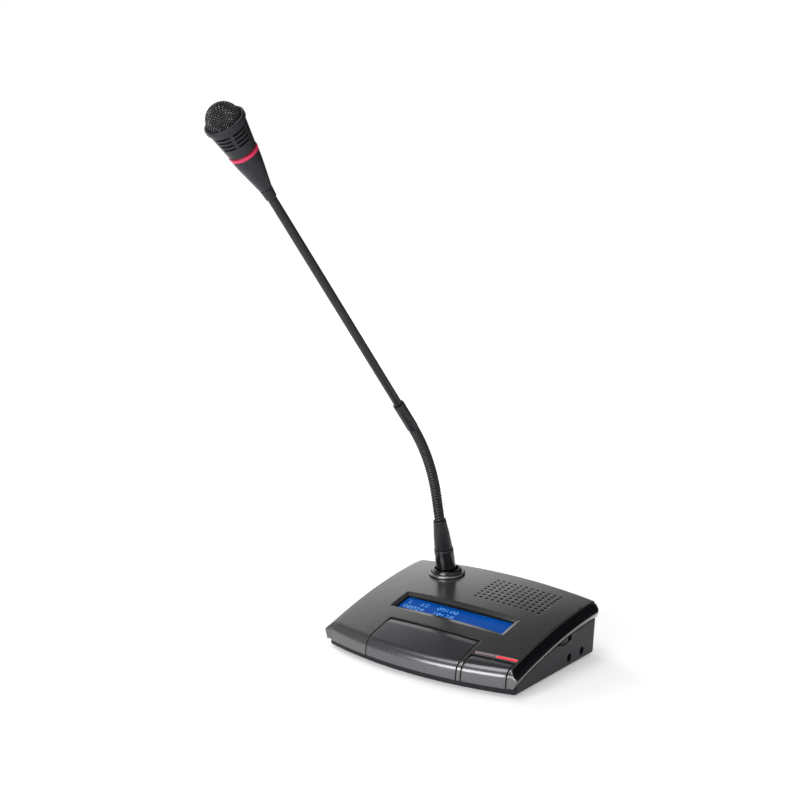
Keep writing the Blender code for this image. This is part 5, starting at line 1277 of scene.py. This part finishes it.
# %% The collar
head_collar = tube(BODY_HIGH + GAP, COLLAR_END, 0.0123, 0.0143, 0.0143)
collar_rows, collar_faces = turned(head_collar, 0.0007, 96, True)
# The collar's inner side gets painted shade.
across = np.cross(collar_rows - place_low, along)
inner_row = np.linalg.norm(across, axis=-1).mean(1) < 0.0128
marks = np.repeat(inner_row & np.roll(inner_row, -1), 96)
piece("head_collar_turned", [(collar_rows, collar_faces, marks)], head_black, "microphone", ["head_collar"],
      "arm_black", painted_shade_look=foam_and_painted_shade)

# %% [markdown]
# The ball is woven from wire. Each wire lies on a flat square net that is wrapped onto the dome, with
# arc lengths from the pole kept, and it rises and falls by about one wire between crossings.

# %% The woven ball
BALL, FOAM = 0.01195, 0.0109
NET, WIRE, WAVE = 0.0016, 0.00021, 0.00019


def wrapped(p, q, lift):
    """(p, q) of the flat net on the dome: sin(ρ/R)·(p, q)/ρ across, cos(ρ/R) along the arm."""
    rho = np.maximum(np.hypot(p, q), 1e-9)
    turn = np.minimum(rho / BALL, math.pi / 2)
    skirt = np.maximum(rho - BALL * math.pi / 2, 0)
    place, along = arm_line(COLLAR_END)
    side = np.cross(along, ACROSS)
    radius = BALL - 0.00045 + lift
    flat = radius * np.sin(turn) / rho
    return place + (flat * p)[..., None] * ACROSS + (flat * q)[..., None] * side \
        + (radius * np.cos(turn) - skirt)[..., None] * along


def wire(fixed, swap):
    """A five-sided tube along one line of the net, over and under the crossing wires."""
    reach = BALL * math.pi / 2 + 0.0022
    half = math.sqrt(max(reach ** 2 - fixed ** 2, 0))
    run = np.linspace(-half, half, max(int(2 * half / 0.00026), 8))
    parity = round(fixed / NET) + swap
    lift = WAVE * np.cos(math.pi * (run / NET + parity))
    p, q = (run, np.full(len(run), fixed))[::(-1 if swap else 1)]
    line = wrapped(p, q, lift)
    onward = unit(np.gradient(line, axis=0))
    outwards = unit(wrapped(p, q, lift + 0.0001) - line)
    angle = circle_angles(5)[None, :, None]
    ring = np.cos(angle) * outwards[:, None] + np.sin(angle) * np.cross(onward, outwards)[:, None]
    return loft(line[:, None] + WIRE * ring)


count = int((BALL * math.pi / 2 + 0.0018) / NET)
wires = [wire(number * NET, swap) for swap in (0, 1) for number in range(-count, count + 1)]
piece("ball_woven", wires, wire_black, "microphone", ["ball_grille"], "grille_black", 60)
dome = np.linspace(0, math.pi / 2, 20)
foam = [(0.4295, 0), (0.4295, FOAM)] + [(COLLAR_END + FOAM * math.sin(a), FOAM * math.cos(a)) for a in dome]
piece("ball_liner", [turned(foam, 0.00001)], foam_and_painted_shade, "microphone", ["ball_grille"], "grille_black")

# %% [markdown]
# ## The volume wheel
#
# Only its edge shows in the thumb scoop, so the edge has 36 round knurls.

# %% Wheel
turn = circle_angles(288)
wheel_rows = []
for height, drawn in ((-0.0020, 0.0006), (-0.0018, 0.00025), (-0.0014, 0), (0.0014, 0), (0.0018, 0.00025),
                      (0.0020, 0.0006)):
    radius = WHEEL_RADIUS - drawn - 0.0004 * (0.5 - 0.5 * np.cos(36 * turn)) ** 2
    edge = np.column_stack((radius * np.cos(turn), radius * np.sin(turn), np.full(288, height)))
    wheel_rows.append(WHEEL_PLACE + edge)
shaft = rod_rows(WHEEL_PLACE - (0, 0, 0.0065), WHEEL_PLACE, 0.0015)
piece("wheel_knurled", [loft(wheel_rows), shaft], black_gloss, "volume_wheel", ["volume_wheel"],
      "black_gloss")

# %% [markdown]
# ## Finishes of the solids that stay
#
# The glass, the pad and what lies inside the case stay as the plain solids, each with a finish.

# %% Finishes of the solids
groups = (
    (rubber, "non_slip_pad capsule_mount"), (case_dark, "key_bracket"), (sleeve_black, "socket_body"),
    (display_blue, "lcd_panel"), (clear_glass, "display_lens"), (cone_paper, "speaker_cone"),
    (cable_black, "microphone_cable"), (white_plastic, "speak_switch_button priority_switch_button"),
    (steel, "lcd_frame speaker_frame speaker_magnet key_hinge_rod microphone_capsule case_screw_1 "
            "case_screw_2 case_screw_3 case_screw_4"),
    (board_green, "key_board display_board main_board side_board"),
    (black_gloss, "speak_switch priority_switch headphone_socket_1 headphone_socket_2 trunk_socket_in "
                  "trunk_socket_out volume_potentiometer"))
looks = {name: look for look, names in groups for name in names.split()}
for name, look in looks.items():
    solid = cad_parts[name].data
    solid.materials.clear()
    solid.materials.append(look)
print("solids that stay:", len(looks))

# %% [markdown]
# ## Light
#
# The world is white for the camera, as in the photograph, and softer for the light that it gives. What
# the lacquer mirrors is a bright patch at the rear left and faint light from the front and the right.
# Three large soft lamps stand low in front, overhead and at the left, the last one without a mirror
# image. The floor is pale and keeps the soft shadow.

# %% World
ROOM_LEVEL = 0.43
bpy.context.scene.view_settings.view_transform = "Standard"
world = bpy.data.worlds.new("studio")
bpy.context.scene.world = world
world.use_nodes = True
tree = world.node_tree
background = tree.nodes["Background"]
path = node(tree, "ShaderNodeLightPath", {}).outputs
direction = node(tree, "ShaderNodeTexCoord", {}).outputs["Generated"]
toward = along_vector(tree, direction, Vector((-0.85, 0.50, 0.10)).normalized())
x, y, _ = node(tree, "ShaderNodeSeparateXYZ", {"Vector": direction}).outputs
glossy_level = ranged(tree, toward, 0.737, 0.878, 0.05, 1.0)
for room_light in (ranged(tree, y, 0.3, -0.3, 0, 0.25), ranged(tree, x, 0.4, 0.8, 0, 0.25)):
    glossy_level = calculated(tree, "ADD", glossy_level, room_light)
seen = calculated(tree, "ADD", path["Is Camera Ray"], path["Is Transmission Ray"], use_clamp=True)
level = node(tree, "ShaderNodeMix", {0: path["Is Glossy Ray"], 2: ROOM_LEVEL, 3: glossy_level}).outputs[0]
level = node(tree, "ShaderNodeMix", {0: seen, 2: level, 3: 1.0}).outputs[0]
background.inputs["Color"].default_value = srgb(255, 255, 255)
tree.links.new(level, background.inputs["Strength"])


# %% Lamps


def soft_lamp(name, direction, distance, size, power, mirrored=True):
    """A soft box, turned to a point just above the floor's middle."""
    lamp = bpy.data.lights.new(name, "AREA")
    lamp.shape, lamp.size, lamp.size_y, lamp.energy = "RECTANGLE", size[0], size[1], power
    made = bpy.data.objects.new(name, lamp)
    aim = Vector(direction).normalized()
    made.location = aim * distance + Vector((0, 0, 0.05))
    made.rotation_euler = aim.to_track_quat("Z", "Y").to_euler()
    made.visible_glossy = mirrored
    bpy.context.scene.collection.objects.link(made)
    return made


lamps = [soft_lamp("low_front", (-0.07, -0.94, 0.30), 1.7, (1.1, 0.55), 14),
         soft_lamp("overhead", (-0.15, -0.30, 0.94), 1.6, (0.8, 0.8), 6),
         soft_lamp("left_window", (-0.86, 0.20, 0.46), 1.8, (1.0, 0.8), 13, mirrored=False)]
print("lamps:", len(lamps))

# %% Floor
floor_mesh = bpy.data.meshes.new("floor")
floor_mesh.from_pydata([(-4, -4, 0), (4, -4, 0), (4, 4, 0), (-4, 4, 0)], [], [(0, 1, 2, 3)])
floor = bpy.data.objects.new("floor", floor_mesh)
bpy.context.scene.collection.objects.link(floor)
floor_look = finish("floor_paper", ((236, 236, 236), (242, 242, 242)), 0.05, (0.6, 0.7),
                    (0.002, 0.00001), Specular_IOR_Level=0.1)
tree, inputs, _, place = opened(floor_look)
path = node(tree, "ShaderNodeLightPath", {}).outputs
away = node(tree, "ShaderNodeVectorMath", {0: place}, operation="LENGTH").outputs["Value"]
in_mirrors = ranged(tree, away, 0.1, 0.35, 0.2, 0.04)
in_view = ranged(tree, away, 0.35, 1.6, 0.33, 0.72)
mirrored = calculated(tree, "MULTIPLY", path["Is Glossy Ray"], in_mirrors)
shown = calculated(tree, "MULTIPLY_ADD", path["Is Camera Ray"], in_view, mirrored)
inputs["Emission Color"].default_value = srgb(255, 255, 255)
tree.links.new(shown, inputs["Emission Strength"])
floor_mesh.materials.append(floor_look)
print("the floor has", len(tree.nodes), "nodes in its finish")
